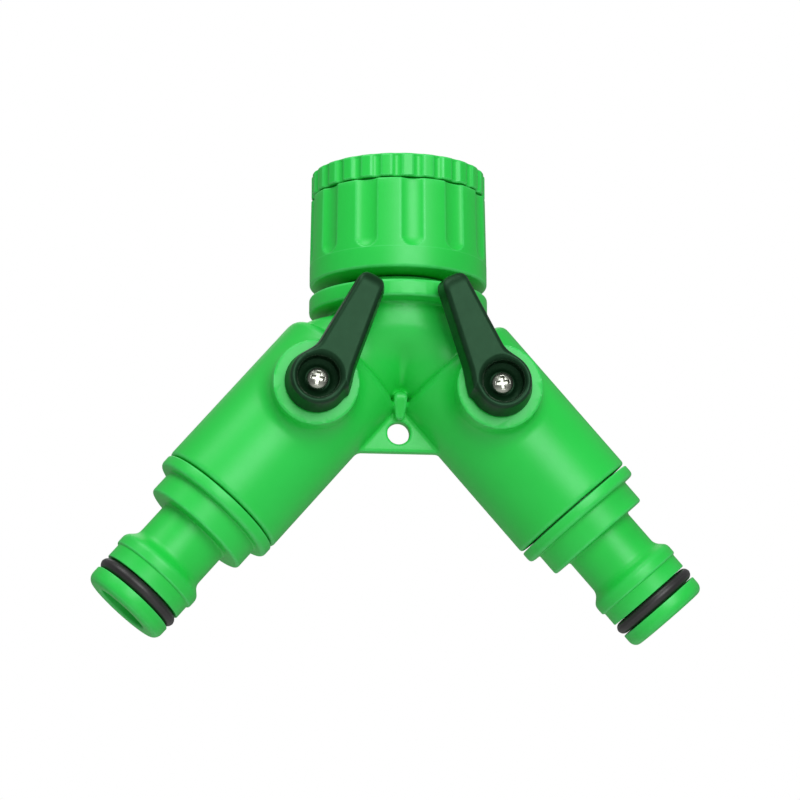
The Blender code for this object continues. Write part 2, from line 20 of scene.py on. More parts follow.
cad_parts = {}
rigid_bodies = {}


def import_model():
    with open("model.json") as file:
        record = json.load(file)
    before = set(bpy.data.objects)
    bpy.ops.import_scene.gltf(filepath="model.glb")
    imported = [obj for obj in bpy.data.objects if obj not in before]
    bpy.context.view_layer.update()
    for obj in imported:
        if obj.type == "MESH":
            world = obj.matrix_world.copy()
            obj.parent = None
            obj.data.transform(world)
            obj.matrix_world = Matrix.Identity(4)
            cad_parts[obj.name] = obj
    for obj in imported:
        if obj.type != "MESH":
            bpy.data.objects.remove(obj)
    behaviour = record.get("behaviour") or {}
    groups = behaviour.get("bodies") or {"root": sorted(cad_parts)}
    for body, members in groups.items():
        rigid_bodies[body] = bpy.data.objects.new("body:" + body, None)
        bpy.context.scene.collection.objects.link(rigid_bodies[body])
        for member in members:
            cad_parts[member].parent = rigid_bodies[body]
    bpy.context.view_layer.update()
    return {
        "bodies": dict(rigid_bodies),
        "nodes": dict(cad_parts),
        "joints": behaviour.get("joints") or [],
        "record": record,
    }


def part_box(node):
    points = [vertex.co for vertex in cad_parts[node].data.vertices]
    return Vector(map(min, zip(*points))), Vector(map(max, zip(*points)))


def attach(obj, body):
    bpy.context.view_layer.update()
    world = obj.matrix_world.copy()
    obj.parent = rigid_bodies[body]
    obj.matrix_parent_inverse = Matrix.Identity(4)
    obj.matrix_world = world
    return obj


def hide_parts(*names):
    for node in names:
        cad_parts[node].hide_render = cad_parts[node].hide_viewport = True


LOG = logging.getLogger("hose_splitter")
MM = 0.001
CLEARANCE = 0.3 * MM  # between pieces that touch, as in the frame
RELIEFS = ("relief", "ridge", "groove")  # the point attributes of a turned wall

Distance = Callable[[np.ndarray, np.ndarray, np.ndarray], np.ndarray]
Row = tuple[float, float]


class Side(Enum):
    """The two arms, with the way each turns about Y from straight down."""

    LEFT = 1
    RIGHT = -1

    @property
    def word(self) -> str:
        """The side's name, as the frame's nodes have it."""
        return self.name.lower()


class Slot(Enum):
    """The record's material slots."""

    GREEN = "green_plastic"
    LEVER = "lever_plastic"
    RUBBER = "black_rubber"
    ACETAL = "white_acetal"
    STEEL = "bright_steel"


# ---------------------------------------------------------------------------------------------- layout


@dataclass(frozen=True)
class Layout:
    """Where the frame puts the junction, the arms, the valves and the levers."""

    junction: float
    arm_angle: float
    valve_station: float
    valve_rise: float
    lever_lean: dict[Side, float]

    @classmethod
    def from_frame(cls, frame: dict) -> "Layout":
        """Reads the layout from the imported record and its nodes.


        Returns:
            The layout.
        """
        joints = {joint["name"]: joint for joint in frame["joints"]}
        mounts = {mount["name"]: mount for mount in frame["record"]["mounts"]}
        out = Vector(mounts["right_hose_end"]["axis"])
        angle = math.atan2(out.x, -out.z)
        end = Vector(mounts["right_hose_end"]["pos_m"])
        junction = end.z + end.x / math.tan(angle)
        pivot = Vector(joints["right_valve_turn"]["pos_m"]) - Vector((0.0, 0.0, junction))
        station = pivot.x * math.sin(angle) - pivot.z * math.cos(angle)
        rise = pivot.x * math.cos(angle) + pivot.z * math.sin(angle)
        lean = {}
        for side in Side:
            centre = Vector(joints[f"{side.word}_valve_turn"]["pos_m"])
            points = [vert.co - centre for vert in frame["nodes"][f"{side.word}_lever"].data.vertices]
            reach = max(math.hypot(point.x, point.z) for point in points)
            tip = [point for point in points if math.hypot(point.x, point.z) > reach - 2 * MM]
            mean = sum(tip, Vector()) / len(tip)
            lean[side] = math.atan2(mean.x, mean.z)
        return cls(junction, angle, station, rise, lean)

    def inlet(self) -> Matrix:
        """The frame at the junction, upright."""
        return Matrix.Translation((0.0, 0.0, self.junction))

    def arm(self, side: Side) -> Matrix:
        """The frame at the junction whose -Z runs out along an arm."""
        return self.inlet() @ Matrix.Rotation(side.value * self.arm_angle, 4, "Y")

    def valve(self, side: Side) -> Matrix:
        """The frame at a valve's centre, turned with its arm."""
        return self.arm(side) @ Matrix.Translation((-side.value * self.valve_rise, 0.0, -self.valve_station))

    def lever(self, side: Side) -> Matrix:
        """The frame at a lever's pivot, whose +Z runs along the lever."""
        turn = self.lever_lean[side] - side.value * self.arm_angle
        return self.valve(side) @ Matrix.Rotation(turn, 4, "Y")


# ---------------------------------------------------------------------------------- distance functions


def blend(first: np.ndarray, second: np.ndarray, softness: float) -> np.ndarray:
    """Joins two solids, with a fillet of about that softness where they meet.

    Args:
        first: Distances to one solid.
        second: Distances to the other.
        softness: How wide the fillet is.

    Returns:
        Distances to the joined solid.
    """
    share = np.clip(0.5 + 0.5 * (second - first) / softness, 0.0, 1.0)
    return second * (1 - share) + first * share - softness * share * (1 - share)


def carve(solid: np.ndarray, hole: np.ndarray, softness: float) -> np.ndarray:
    """Takes a hole out of a solid and rounds the rim."""
    return -blend(-solid, hole, softness)


def keep(solid: np.ndarray, room: np.ndarray, softness: float) -> np.ndarray:
    """Keeps what two solids share, and rounds the edge."""
    return -blend(-solid, -room, softness)


def rod(
    across: np.ndarray, along: np.ndarray, radius: float, low: float, high: float, edge: float
) -> np.ndarray:
    """Distances to a cylinder with rounded rims.

    Args:
        across: Distance from the axis.
        along: Place along the axis.
        radius: The cylinder's radius.
        low: Where it starts.
        high: Where it ends.
        edge: The radius of its rims.

    Returns:
        Distances, negative inside.
    """
    wide = across - (radius - edge)
    long = np.abs(along - (low + high) / 2) - ((high - low) / 2 - edge)
    outside = np.hypot(np.maximum(wide, 0), np.maximum(long, 0))
    return outside + np.minimum(np.maximum(wide, long), 0) - edge


def slab(along: np.ndarray, low: float, high: float) -> np.ndarray:
    """Distances to the space between two parallel planes."""
    return np.abs(along - (low + high) / 2) - (high - low) / 2


def polygonise(
    distance: Distance, low: Sequence[float], high: Sequence[float], step: float
) -> bpy.types.Mesh:
    """Meshes a solid given by its distances, with one vertex in each grid cell that its surface crosses.

    Args:
        distance: The solid.
        low: The lowest corner of the room that it needs.
        high: The highest corner.
        step: The grid's pitch.

    Returns:
        A closed mesh of quads whose faces point outwards.
    """
    ticks = [np.arange(start - 1.5 * step, end + 2.5 * step, step) for start, end in zip(low, high)]
    values = distance(*np.meshgrid(*ticks, indexing="ij"))
    inside = values < 0
    count = np.zeros(np.array(values.shape) - 1, np.int8)
    for corner in np.ndindex(2, 2, 2):
        count += inside[tuple(slice(at, at + size) for at, size in zip(corner, count.shape))]
    mixed = (count > 0) & (count < 8)
    cells = np.argwhere(mixed)
    number = np.full(count.shape, -1, np.int64)
    number[mixed] = np.arange(len(cells))
    points = np.array([tick[0] for tick in ticks]) + cell_points(values, cells) * step
    points = settle(distance, points, step)
    faces = [crossing_quads(inside, number, axis) for axis in range(3)]
    mesh = bpy.data.meshes.new("solid")
    mesh.from_pydata(points.tolist(), [], np.concatenate(faces).tolist())
    return mesh


def cell_points(values: np.ndarray, cells: np.ndarray) -> np.ndarray:
    """The mean of the places where the surface crosses each cell's edges, in grid units."""
    total = np.zeros((len(cells), 3))
    hits = np.zeros(len(cells))
    for axis in range(3):
        others = [other for other in range(3) if other != axis]
        for corner in np.ndindex(2, 2):
            start = cells.copy()
            start[:, others[0]] += corner[0]
            start[:, others[1]] += corner[1]
            end = start.copy()
            end[:, axis] += 1
            first = values[tuple(start.T)]
            second = values[tuple(end.T)]
            crossed = (first < 0) != (second < 0)
            share = np.where(crossed, first / np.where(crossed, first - second, 1.0), 0.0)
            place = start.astype(float)
            place[:, axis] += share
            total += place * crossed[:, None]
            hits += crossed
    return total / hits[:, None]


def settle(distance: Distance, points: np.ndarray, step: float, rounds: int = 4) -> np.ndarray:
    """Moves points onto the surface, each by no more than about one grid step."""
    probe = step * 0.02
    start = points.copy()
    for _ in range(rounds):
        here = distance(*points.T)
        slope = np.empty_like(points)
        for axis in range(3):
            moved = points.copy()
            moved[:, axis] += probe
            slope[:, axis] = (distance(*moved.T) - here) / probe
        steep = np.maximum((slope**2).sum(1), 0.05)
        points = points - slope * (here / steep)[:, None]
        points = start + np.clip(points - start, -step, step)
    return points


def crossing_quads(inside: np.ndarray, number: np.ndarray, axis: int) -> np.ndarray:
    """One quad round each grid edge along an axis that the surface crosses."""
    second, third = (axis + 1) % 3, (axis + 2) % 3
    first_half = [slice(None)] * 3
    other_half = [slice(None)] * 3
    first_half[axis] = slice(None, -1)
    other_half[axis] = slice(1, None)
    leaving = inside[tuple(first_half)] & ~inside[tuple(other_half)]
    entering = ~inside[tuple(first_half)] & inside[tuple(other_half)]
    quads = []
    for edges, order in ((leaving, (0, 1, 2, 3)), (entering, (3, 2, 1, 0))):
        at = np.argwhere(edges)
        ring = []
        for back_second, back_third in ((1, 1), (0, 1), (0, 0), (1, 0)):
            cell = at.copy()
            cell[:, second] -= back_second
            cell[:, third] -= back_third
            ring.append(number[tuple(cell.T)])
        quads.append(np.stack([ring[place] for place in order], axis=1))
    return np.concatenate(quads)


def thinned(mesh: bpy.types.Mesh, share: float) -> bpy.types.Mesh:
    """Joins the faces of a mesh where it is nearly flat.

    Args:
        mesh: The mesh, which is removed.
        share: The share of the faces that stays.

    Returns:
        The lighter mesh.
    """
    holder = bpy.data.objects.new("thinned", mesh)
    bpy.context.scene.collection.objects.link(holder)
    thinning = holder.modifiers.new("thinning", "DECIMATE")
    thinning.ratio = share
    graph = bpy.context.evaluated_depsgraph_get()
    lighter = bpy.data.meshes.new_from_object(holder.evaluated_get(graph))
    bpy.data.objects.remove(holder)
    bpy.data.meshes.remove(mesh)
    return lighter


# ------------------------------------------------------------------------------------- turned meshes


def soften(corners: Sequence[Row], rounding: Sequence[float], steps: int = 5) -> list[Row]:
    """Rounds the corners of a closed outline.

    Args:
        corners: The outline's (radius, height) corners.
        rounding: How far each corner's curve reaches along its sides.
        steps: Straight pieces in each curve.

    Returns:
        The points of the rounded outline.
    """
    points: list[Row] = []
    for place, (corner, reach) in enumerate(zip(corners, rounding)):
        here = Vector(corner)
        if reach <= 0:
            points.append(corner)
            continue
        before = Vector(corners[place - 1]) - here
        after = Vector(corners[(place + 1) % len(corners)]) - here
        start = here + before.normalized() * min(reach, before.length * 0.49)
        end = here + after.normalized() * min(reach, after.length * 0.49)
        for step in range(steps + 1):
            share = step / steps
            point = start * (1 - share) ** 2 + here * 2 * share * (1 - share) + end * share**2
            points.append((point.x, point.y))
    return points


def arc(centre: Row, reach: Row, start: float, end: float, count: int) -> list[Row]:
    """Points of a rounded corner.

    Args:
        centre: The (radius, height) of the curve's centre.
        reach: How far the curve stands off it, outwards and upwards.
        start: The first point's angle from outwards.
        end: The last point's angle.
        count: How many points there are.

    Returns:
        The points.
    """
    return [
        (centre[0] + reach[0] * math.cos(turn), centre[1] + reach[1] * math.sin(turn))
        for turn in np.linspace(start, end, count)]


def turned(profile: Sequence[Row], sides: int) -> bmesh.types.BMesh:
    """Turns a closed (radius, height) outline round Z. The outline runs anticlockwise."""
    builder = bmesh.new()
    angles = [math.tau * step / sides for step in range(sides)]
    rings = [
        [builder.verts.new((radius * math.cos(turn), radius * math.sin(turn), height)) for turn in angles]
        for radius, height in profile
    ]
    for lower, upper in zip(rings, rings[1:] + rings[:1]):
        for step in range(sides):
            after = (step + 1) % sides
            builder.faces.new((lower[step], lower[after], upper[after], upper[step]))
    return builder


def piece_from(
    name: str, mesh: bpy.types.Mesh, place: Matrix, sharp: float = 40.0
) -> bpy.types.Object:
    """Makes a smooth-shaded piece whose place is in its mesh.

    Args:
        name: The piece's name.
        mesh: Its mesh, in the piece's own frame.
        place: That frame.
        sharp: The angle in degrees from which an edge is shaded sharp.

    Returns:
        The piece, at the origin.
    """
    mesh.name = name
    mesh.transform(place)
    mesh.shade_smooth()
    mesh.set_sharp_from_angle(angle=math.radians(sharp))
    piece = bpy.data.objects.new(name, mesh)
    bpy.context.scene.collection.objects.link(piece)
    return piece


def mark_edges(mesh: bpy.types.Mesh, radius: float = 0.6 * MM) -> None:
    """Writes the attribute "edge": 0 where a surface is flat or hollow, 1 where it bends like an edge.

    Args:
        mesh: The mesh.
        radius: The radius of an edge that counts in full.
    """
    count = len(mesh.vertices)
    places = np.empty(count * 3)
    mesh.vertices.foreach_get("co", places)
    normals = np.empty(count * 3)
    mesh.vertex_normals.foreach_get("vector", normals)
    ends = np.empty(len(mesh.edges) * 2, np.int32)
    mesh.edges.foreach_get("vertices", ends)
    places, normals, ends = places.reshape(-1, 3), normals.reshape(-1, 3), ends.reshape(-1, 2)
    bend = np.zeros(count)
    met = np.zeros(count)
    for here, there in (ends.T, ends.T[::-1]):
        away = places[there] - places[here]
        square = np.maximum((away**2).sum(1), 1e-12)
        np.add.at(bend, here, -2 * (away * normals[here]).sum(1) / square)
        np.add.at(met, here, 1)
    share = np.clip(bend / np.maximum(met, 1) * radius * 2, 0.0, 1.0)
    layer = mesh.attributes.new("edge", "FLOAT", "POINT")
    layer.data.foreach_set("value", share.astype(np.float32))


def mesh_from(builder: bmesh.types.BMesh) -> bpy.types.Mesh:
    """Turns a bmesh into a mesh with its faces outwards."""
    bmesh.ops.recalc_face_normals(builder, faces=builder.faces)
    mesh = bpy.data.meshes.new("turned")
    builder.to_mesh(mesh)
    builder.free()
    return mesh


def hand_over(
    piece: bpy.types.Object, body: str, nodes: Iterable[str], finish: bpy.types.Material
) -> None:
    """Dresses a piece and ties it to the frame.

    Args:
        piece: The piece.
        body: The body that it rides on.
        nodes: The frame's nodes that it stands for.
        finish: Its material.
    """
    piece.data.materials.clear()
    piece.data.materials.append(finish)
    mark_edges(piece.data)
    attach(piece, body)
    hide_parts(*nodes)
    LOG.info("%s: %d faces, rides on %s", piece.name, len(piece.data.polygons), body)


# ------------------------------------------------------------------------------- relief by node trees


class NodeTree:
    """A geometry or shader node group that is built up in a script, link by link."""

    def __init__(self, name: str, kind: str) -> None:
        """Starts an empty tree.

        Args:
            name: The tree's name.
            kind: "GeometryNodeTree" or "ShaderNodeTree".
        """
        self.tree = bpy.data.node_groups.new(name, kind)
        self.identifiers: dict[str, str] = {}
        self.entry = self.tree.nodes.new("NodeGroupInput")
        self.leave = self.tree.nodes.new("NodeGroupOutput")

    def socket(self, name: str, kind: str, default: object = None, out: bool = False) -> None:
        """Adds a named input or output."""
        made = self.tree.interface.new_socket(name, in_out="OUTPUT" if out else "INPUT", socket_type=kind)
        if default is not None:
            made.default_value = default
        self.identifiers[name] = made.identifier

    def numbers(self, defaults: dict[str, float]) -> None:
        """Adds a number input for each name, with its default."""
        for name, default in defaults.items():
            self.socket(name, "NodeSocketFloat", default)

    def node(self, kind: str, **settings: object) -> bpy.types.Node:
        """Adds a node and sets its own properties."""
        made = self.tree.nodes.new(kind)
        for key, value in settings.items():
            setattr(made, key, value)
        return made

    def feed(self, socket: bpy.types.NodeSocket, value: object) -> None:
        """Links an output to a socket, or sets the socket to a plain value."""
        if isinstance(value, bpy.types.NodeSocket):
            self.tree.links.new(value, socket)
        else:
            socket.default_value = value

    def math(self, operation: str, first: object, second: object = 0.0, clamp: bool = False) -> object:
        """Adds one step of arithmetic and returns its result's socket."""
        made = self.node("ShaderNodeMath", operation=operation, use_clamp=clamp)
        self.feed(made.inputs[0], first)
        self.feed(made.inputs[1], second)
        return made.outputs[0]

    def attribute(self, name: str) -> object:
        """The socket of a named number kept on the points."""
        made = self.node("GeometryNodeInputNamedAttribute", data_type="FLOAT")
        made.inputs["Name"].default_value = name
        return made.outputs["Attribute"]


class ReliefTree:
    """A node tree that presses flutes or ribs and screw threads into a turned wall.

    Each point is moved along its radius. The point attribute relief turns the flutes on, ridge raises a male
    thread from its root, and groove sinks a female thread from its root.
    """

    def __init__(self) -> None:
        """Builds the tree."""
        made = NodeTree("turned_relief", "GeometryNodeTree")
        self.made = made
        made.socket("Geometry", "NodeSocketGeometry")
        made.numbers({
            "Count": 12.0, "Depth": 0.5 * MM, "Half Width": 1.9 * MM, "Phase": 0.0, "Round End": 0.0,
            "Pitch": 1.8 * MM, "Thread Depth": 1.0 * MM, "Thread Datum": 0.0})
        made.socket("Finish", "NodeSocketMaterial")
        made.socket("Geometry", "NodeSocketGeometry", out=True)
        entry = made.entry.outputs
        position = made.node("GeometryNodeInputPosition").outputs[0]
        parts = made.node("ShaderNodeSeparateXYZ")
        made.feed(parts.inputs[0], position)
        angle = made.math("ARCTAN2", parts.outputs["Y"], parts.outputs["X"])
        across = self.length_of(parts.outputs["X"], parts.outputs["Y"], squared=False)
        pitch_angle = made.math("DIVIDE", math.tau, entry["Count"])
        turns = made.math("DIVIDE", made.math("SUBTRACT", angle, entry["Phase"]), pitch_angle)
        offset = made.math("SUBTRACT", turns, made.math("ROUND", turns))
        side = made.math("MULTIPLY", made.math("MULTIPLY", offset, pitch_angle), across)
        beyond = made.math("MAXIMUM", made.math("SUBTRACT", entry["Round End"], parts.outputs["Z"]), 0.0)
        reach = self.length_of(side, beyond, squared=True)
        share = made.math("DIVIDE", reach, made.math("POWER", entry["Half Width"], 2.0))
        hollow = made.math("POWER", made.math("MAXIMUM", made.math("SUBTRACT", 1.0, share), 0.0), 0.75)
        sunk = made.math("MULTIPLY", hollow, entry["Depth"])
        flute = made.math("MULTIPLY", sunk, made.attribute("relief"))
        above = made.math("SUBTRACT", parts.outputs["Z"], entry["Thread Datum"])
        climb = made.math("DIVIDE", above, entry["Pitch"])
        turn = made.math("SUBTRACT", made.math("MULTIPLY", climb, math.tau), angle)
        wave = made.math("ADD", made.math("MULTIPLY", made.math("COSINE", turn), 0.5), 0.5)
        ridge = made.math("MULTIPLY", wave, made.attribute("ridge"))
        groove = made.math("MULTIPLY", made.math("SUBTRACT", 1.0, wave), made.attribute("groove"))
        thread = made.math("MULTIPLY", made.math("SUBTRACT", ridge, groove), entry["Thread Depth"])
        move = made.math("SUBTRACT", thread, flute)
        outward = made.node("ShaderNodeCombineXYZ")
        made.feed(outward.inputs["X"], made.math("COSINE", angle))
        made.feed(outward.inputs["Y"], made.math("SINE", angle))
        scaled = made.node("ShaderNodeVectorMath", operation="SCALE")
        made.feed(scaled.inputs[0], outward.outputs[0])
        made.feed(scaled.inputs["Scale"], move)
        shift = made.node("GeometryNodeSetPosition")
        made.feed(shift.inputs["Geometry"], entry["Geometry"])
        made.feed(shift.inputs["Offset"], scaled.outputs[0])
        realize = made.node("GeometryNodeRealizeInstances")
        made.feed(realize.inputs[0], shift.outputs[0])
        dress = made.node("GeometryNodeSetMaterial")
        made.feed(dress.inputs["Geometry"], realize.outputs[0])
        made.feed(dress.inputs["Material"], entry["Finish"])
        made.feed(made.leave.inputs[0], dress.outputs[0])

    def length_of(self, first: object, second: object, squared: bool) -> object:
        """The length of a flat vector, or its square."""
        total = self.made.math(
            "ADD", self.made.math("POWER", first, 2.0), self.made.math("POWER", second, 2.0))
        return total if squared else self.made.math("SQRT", total)

    def press(self, piece: bpy.types.Object, **values: object) -> None:
        """Runs the tree on a piece and keeps the result as its mesh.

        Args:
            piece: The turned piece, with its attributes.
            values: The tree's inputs, by name with _ for a space.
        """
        modifier = piece.modifiers.new("relief", "NODES")
        modifier.node_group = self.made.tree
        for name, value in values.items():
            modifier[self.made.identifiers[name.replace("_", " ")]] = value
        graph = bpy.context.evaluated_depsgraph_get()
        pressed = bpy.data.meshes.new_from_object(piece.evaluated_get(graph))
        piece.modifiers.remove(modifier)
        for name in RELIEFS:
            pressed.attributes.remove(pressed.attributes[name])
        pressed.name = piece.name
        piece.data = pressed


@dataclass
class WallRow:
    """One ring of a turned wall, with how far each kind of relief shows there."""

    radius: float
    height: float
    relief: float = 0.0
    ridge: float = 0.0
    groove: float = 0.0


def wall(rows: Sequence[WallRow], sides: int) -> bpy.types.Mesh:
    """Turns rows into a closed mesh that carries their relief as point attributes."""
    builder = turned([(row.radius, row.height) for row in rows], sides)
    mesh = mesh_from(builder)
    for name in RELIEFS:
        values = np.repeat([getattr(row, name) for row in rows], sides)
        attribute = mesh.attributes.new(name, "FLOAT", "POINT")
        attribute.data.foreach_set("value", values.astype(np.float32))
    return mesh


def spread(start: WallRow, end: WallRow, step: float) -> list[WallRow]:
    """Rows from start to end, both included, at even steps."""
    count = max(1, round(math.hypot(end.radius - start.radius, end.height - start.height) / step))
    rows = []
    for place in range(count + 1):
        share = place / count
        mixed = [
            getattr(start, name) * (1 - share) + getattr(end, name) * share
            for name in ("radius", "height", *RELIEFS)
        ]
        rows.append(WallRow(*mixed))
    return rows


def thread_wall(radius: float, start: float, end: float, pitch: float, kind: str) -> list[WallRow]:
    """Rows of a wall whose thread fades over one pitch at each end.

    Args:
        radius: The wall's radius where there is no thread.
        start: The height of the first row.
        end: The height of the last row.
        pitch: The thread's pitch.
        kind: "ridge" or "groove".

    Returns:
        The rows, from start to end.
    """
    rows = spread(WallRow(radius, start), WallRow(radius, end), pitch / 12)
    low, high = min(start, end), max(start, end)
    for row in rows:
        fade = min(1.0, (row.height - low) / pitch, (high - row.height) / pitch)
        setattr(row, kind, max(fade, 0.0))
    return rows


def plain(points: Iterable[Row], relief: float = 0.0) -> list[WallRow]:
    """Rows at given (radius, height) points."""
    return [WallRow(radius, height, relief) for radius, height in points]


# ------------------------------------------------------------------------------------------ finishes


class Effects:
    """The shader node groups that several finishes share."""

    def __init__(self) -> None:
        """Builds the groups."""
        self.grain = self._grain()
        self.drift = self._drift()
        self.wear = self._wear()

    @staticmethod
    def _noise(made: NodeTree, place: object, scale: object, detail: float) -> object:
        """A noise's value socket."""
        noise = made.node("ShaderNodeTexNoise")
        made.feed(noise.inputs["Vector"], place)
        made.feed(noise.inputs["Scale"], scale)
        made.feed(noise.inputs["Detail"], detail)
        return noise.outputs["Fac"]

    def _grain(self) -> bpy.types.NodeTree:
        """The height of a moulded skin: fine pits over a slow ripple."""
        made = NodeTree("moulded_grain", "ShaderNodeTree")
        made.numbers({"Fine Scale": 2500.0, "Ripple Scale": 180.0, "Ripple Share": 0.5})
        made.socket("Height", "NodeSocketFloat", out=True)
        place = made.node("ShaderNodeTexCoord").outputs["Object"]
        fine = self._noise(made, place, made.entry.outputs["Fine Scale"], 2.0)
        ripple = self._noise(made, place, made.entry.outputs["Ripple Scale"], 2.0)
        share = made.entry.outputs["Ripple Share"]
        low = made.math("MULTIPLY", ripple, share)
        high = made.math("MULTIPLY", fine, made.math("SUBTRACT", 1.0, share))
        made.feed(made.leave.inputs["Height"], made.math("ADD", low, high))
        return made.tree

    def _drift(self) -> bpy.types.NodeTree:
        """A colour that wanders slowly between two, and a roughness that goes with it."""
        made = NodeTree("colour_drift", "ShaderNodeTree")
        made.socket("Colour", "NodeSocketColor", (0.5, 0.5, 0.5, 1.0))
        made.socket("Other Colour", "NodeSocketColor", (0.6, 0.6, 0.6, 1.0))
        made.numbers({"Scale": 60.0, "Roughness": 0.4, "Roughness Spread": 0.1})
        made.socket("Colour", "NodeSocketColor", out=True)
        made.socket("Roughness", "NodeSocketFloat", out=True)
        place = made.node("ShaderNodeTexCoord").outputs["Object"]
        slow = self._noise(made, place, made.entry.outputs["Scale"], 3.0)
        mix = made.node("ShaderNodeMix", data_type="RGBA")
        made.feed(mix.inputs["Factor"], slow)
        made.feed(mix.inputs[6], made.entry.outputs["Colour"])
        made.feed(mix.inputs[7], made.entry.outputs["Other Colour"])
        quick = self._noise(made, place, made.math("MULTIPLY", made.entry.outputs["Scale"], 12.0), 3.0)
        centred = made.math("SUBTRACT", quick, 0.5)
        swing = made.math("MULTIPLY", centred, made.entry.outputs["Roughness Spread"])
        made.feed(made.leave.inputs["Colour"], mix.outputs[2])
        made.feed(made.leave.inputs["Roughness"], made.math("ADD", made.entry.outputs["Roughness"], swing))
        return made.tree

    def _wear(self) -> bpy.types.NodeTree:
        """A mask of rubbed edges, broken up by a noise."""
        made = NodeTree("rubbed_edges", "ShaderNodeTree")
        made.numbers({"Amount": 0.3, "Sharpness": 1.5, "Breakup Scale": 700.0})
        made.socket("Mask", "NodeSocketFloat", out=True)
        bend = made.node("ShaderNodeAttribute", attribute_name="edge").outputs["Fac"]
        place = made.node("ShaderNodeTexCoord").outputs["Object"]
        broken = self._noise(made, place, made.entry.outputs["Breakup Scale"], 4.0)
        edge = made.math("POWER", bend, made.entry.outputs["Sharpness"])
        rubbed = made.math("MULTIPLY", edge, made.math("MULTIPLY", broken, 1.6), clamp=True)
        made.feed(made.leave.inputs["Mask"], made.math("MULTIPLY", rubbed, made.entry.outputs["Amount"]))
        return made.tree


@dataclass(frozen=True)
class Finish:
    """What a moulded or metal surface looks like, with the values that its material is built from."""

    name: str
    colour: tuple[float, float, float]
    other_colour: tuple[float, float, float]
    worn_colour: tuple[float, float, float]
    roughness: float
    roughness_spread: float = 0.08
    drift_scale: float = 60.0
    fine_scale: float = 2500.0
    ripple_scale: float = 180.0
    ripple_share: float = 0.5
    bump: float = 0.1
    bump_depth: float = 0.05 * MM
    wear: float = 0.3
    metallic: float = 0.0
    specular: float = 0.5
    specular_tint: tuple[float, float, float] = (1.0, 1.0, 1.0)
    subsurface: float = 0.0
    subsurface_radius: tuple[float, float, float] = (1.0, 1.0, 1.0)
    subsurface_scale: float = 1.0 * MM

    def material(self, effects: Effects) -> bpy.types.Material:
        """Builds the material.

        Args:
            effects: The shared node groups.

        Returns:
            The material.
        """
        material = bpy.data.materials.new(self.name)
        material.use_nodes = True
        tree = material.node_tree
        shader = tree.nodes["Principled BSDF"]
        shader.inputs["Metallic"].default_value = self.metallic
        shader.inputs["Specular IOR Level"].default_value = self.specular
        shader.inputs["Specular Tint"].default_value = (*self.specular_tint, 1.0)
        if self.subsurface:
            shader.inputs["Subsurface Weight"].default_value = self.subsurface
            shader.inputs["Subsurface Radius"].default_value = self.subsurface_radius
            shader.inputs["Subsurface Scale"].default_value = self.subsurface_scale
        drift = self._group(tree, effects.drift, {
            "Colour": (*self.colour, 1.0), "Other Colour": (*self.other_colour, 1.0),
            "Scale": self.drift_scale, "Roughness": self.roughness,
            "Roughness Spread": self.roughness_spread})
        wear = self._group(tree, effects.wear, {"Amount": self.wear})
        grain = self._group(tree, effects.grain, {
            "Fine Scale": self.fine_scale, "Ripple Scale": self.ripple_scale,
            "Ripple Share": self.ripple_share})
        mix = tree.nodes.new("ShaderNodeMix")
        mix.data_type = "RGBA"
        mix.inputs[7].default_value = (*self.worn_colour, 1.0)
        tree.links.new(wear.outputs["Mask"], mix.inputs["Factor"])
        tree.links.new(drift.outputs["Colour"], mix.inputs[6])
        tree.links.new(mix.outputs[2], shader.inputs["Base Color"])
        tree.links.new(drift.outputs["Roughness"], shader.inputs["Roughness"])
        bump = tree.nodes.new("ShaderNodeBump")
        bump.inputs["Strength"].default_value = self.bump
        bump.inputs["Distance"].default_value = self.bump_depth
        tree.links.new(grain.outputs["Height"], bump.inputs["Height"])
        tree.links.new(bump.outputs["Normal"], shader.inputs["Normal"])
        return material

    @staticmethod
    def _group(
        tree: bpy.types.NodeTree, group: bpy.types.NodeTree, values: dict[str, object]
    ) -> bpy.types.Node:
        """Places a shared group in a material with its own values."""
        node = tree.nodes.new("ShaderNodeGroup")
        node.node_tree = group
        for name, value in values.items():
            node.inputs[name].default_value = value
        return node


FINISHES = {
    Slot.GREEN: Finish(
        "bright_green_moulding", (0.010, 0.57, 0.048), (0.018, 0.62, 0.070), (0.12, 0.74, 0.24), 0.40,
        wear=0.35, specular=0.55, specular_tint=(0.8, 1.0, 1.0), bump=0.2,
        subsurface=0.06, subsurface_radius=(0.3, 1.0, 0.3), subsurface_scale=1.0 * MM),
    Slot.LEVER: Finish(
        "dark_green_black_moulding", (0.002, 0.013, 0.004), (0.003, 0.018, 0.006), (0.02, 0.06, 0.03), 0.40,
        wear=0.5, specular=0.32, specular_tint=(0.4, 1.0, 0.55), bump=0.35,
        ripple_share=0.35, fine_scale=3200.0),
    Slot.RUBBER: Finish(
        "black_ring_rubber", (0.010, 0.010, 0.010), (0.018, 0.018, 0.018), (0.05, 0.05, 0.05), 0.42,
        wear=0.3, bump=0.4, drift_scale=150.0),
    Slot.ACETAL: Finish(
        "natural_white_moulding", (0.78, 0.78, 0.75), (0.84, 0.84, 0.82), (0.9, 0.9, 0.88), 0.3,
        subsurface=0.15, subsurface_scale=1.5 * MM),
    Slot.STEEL: Finish(
        "bright_zinc_steel", (0.40, 0.42, 0.36), (0.29, 0.31, 0.26), (0.60, 0.61, 0.56), 0.26,
        metallic=1.0, wear=0.6, bump=0.3, drift_scale=400.0, ripple_scale=900.0, ripple_share=0.6),
}


# ------------------------------------------------------------------------------------- sub-assemblies


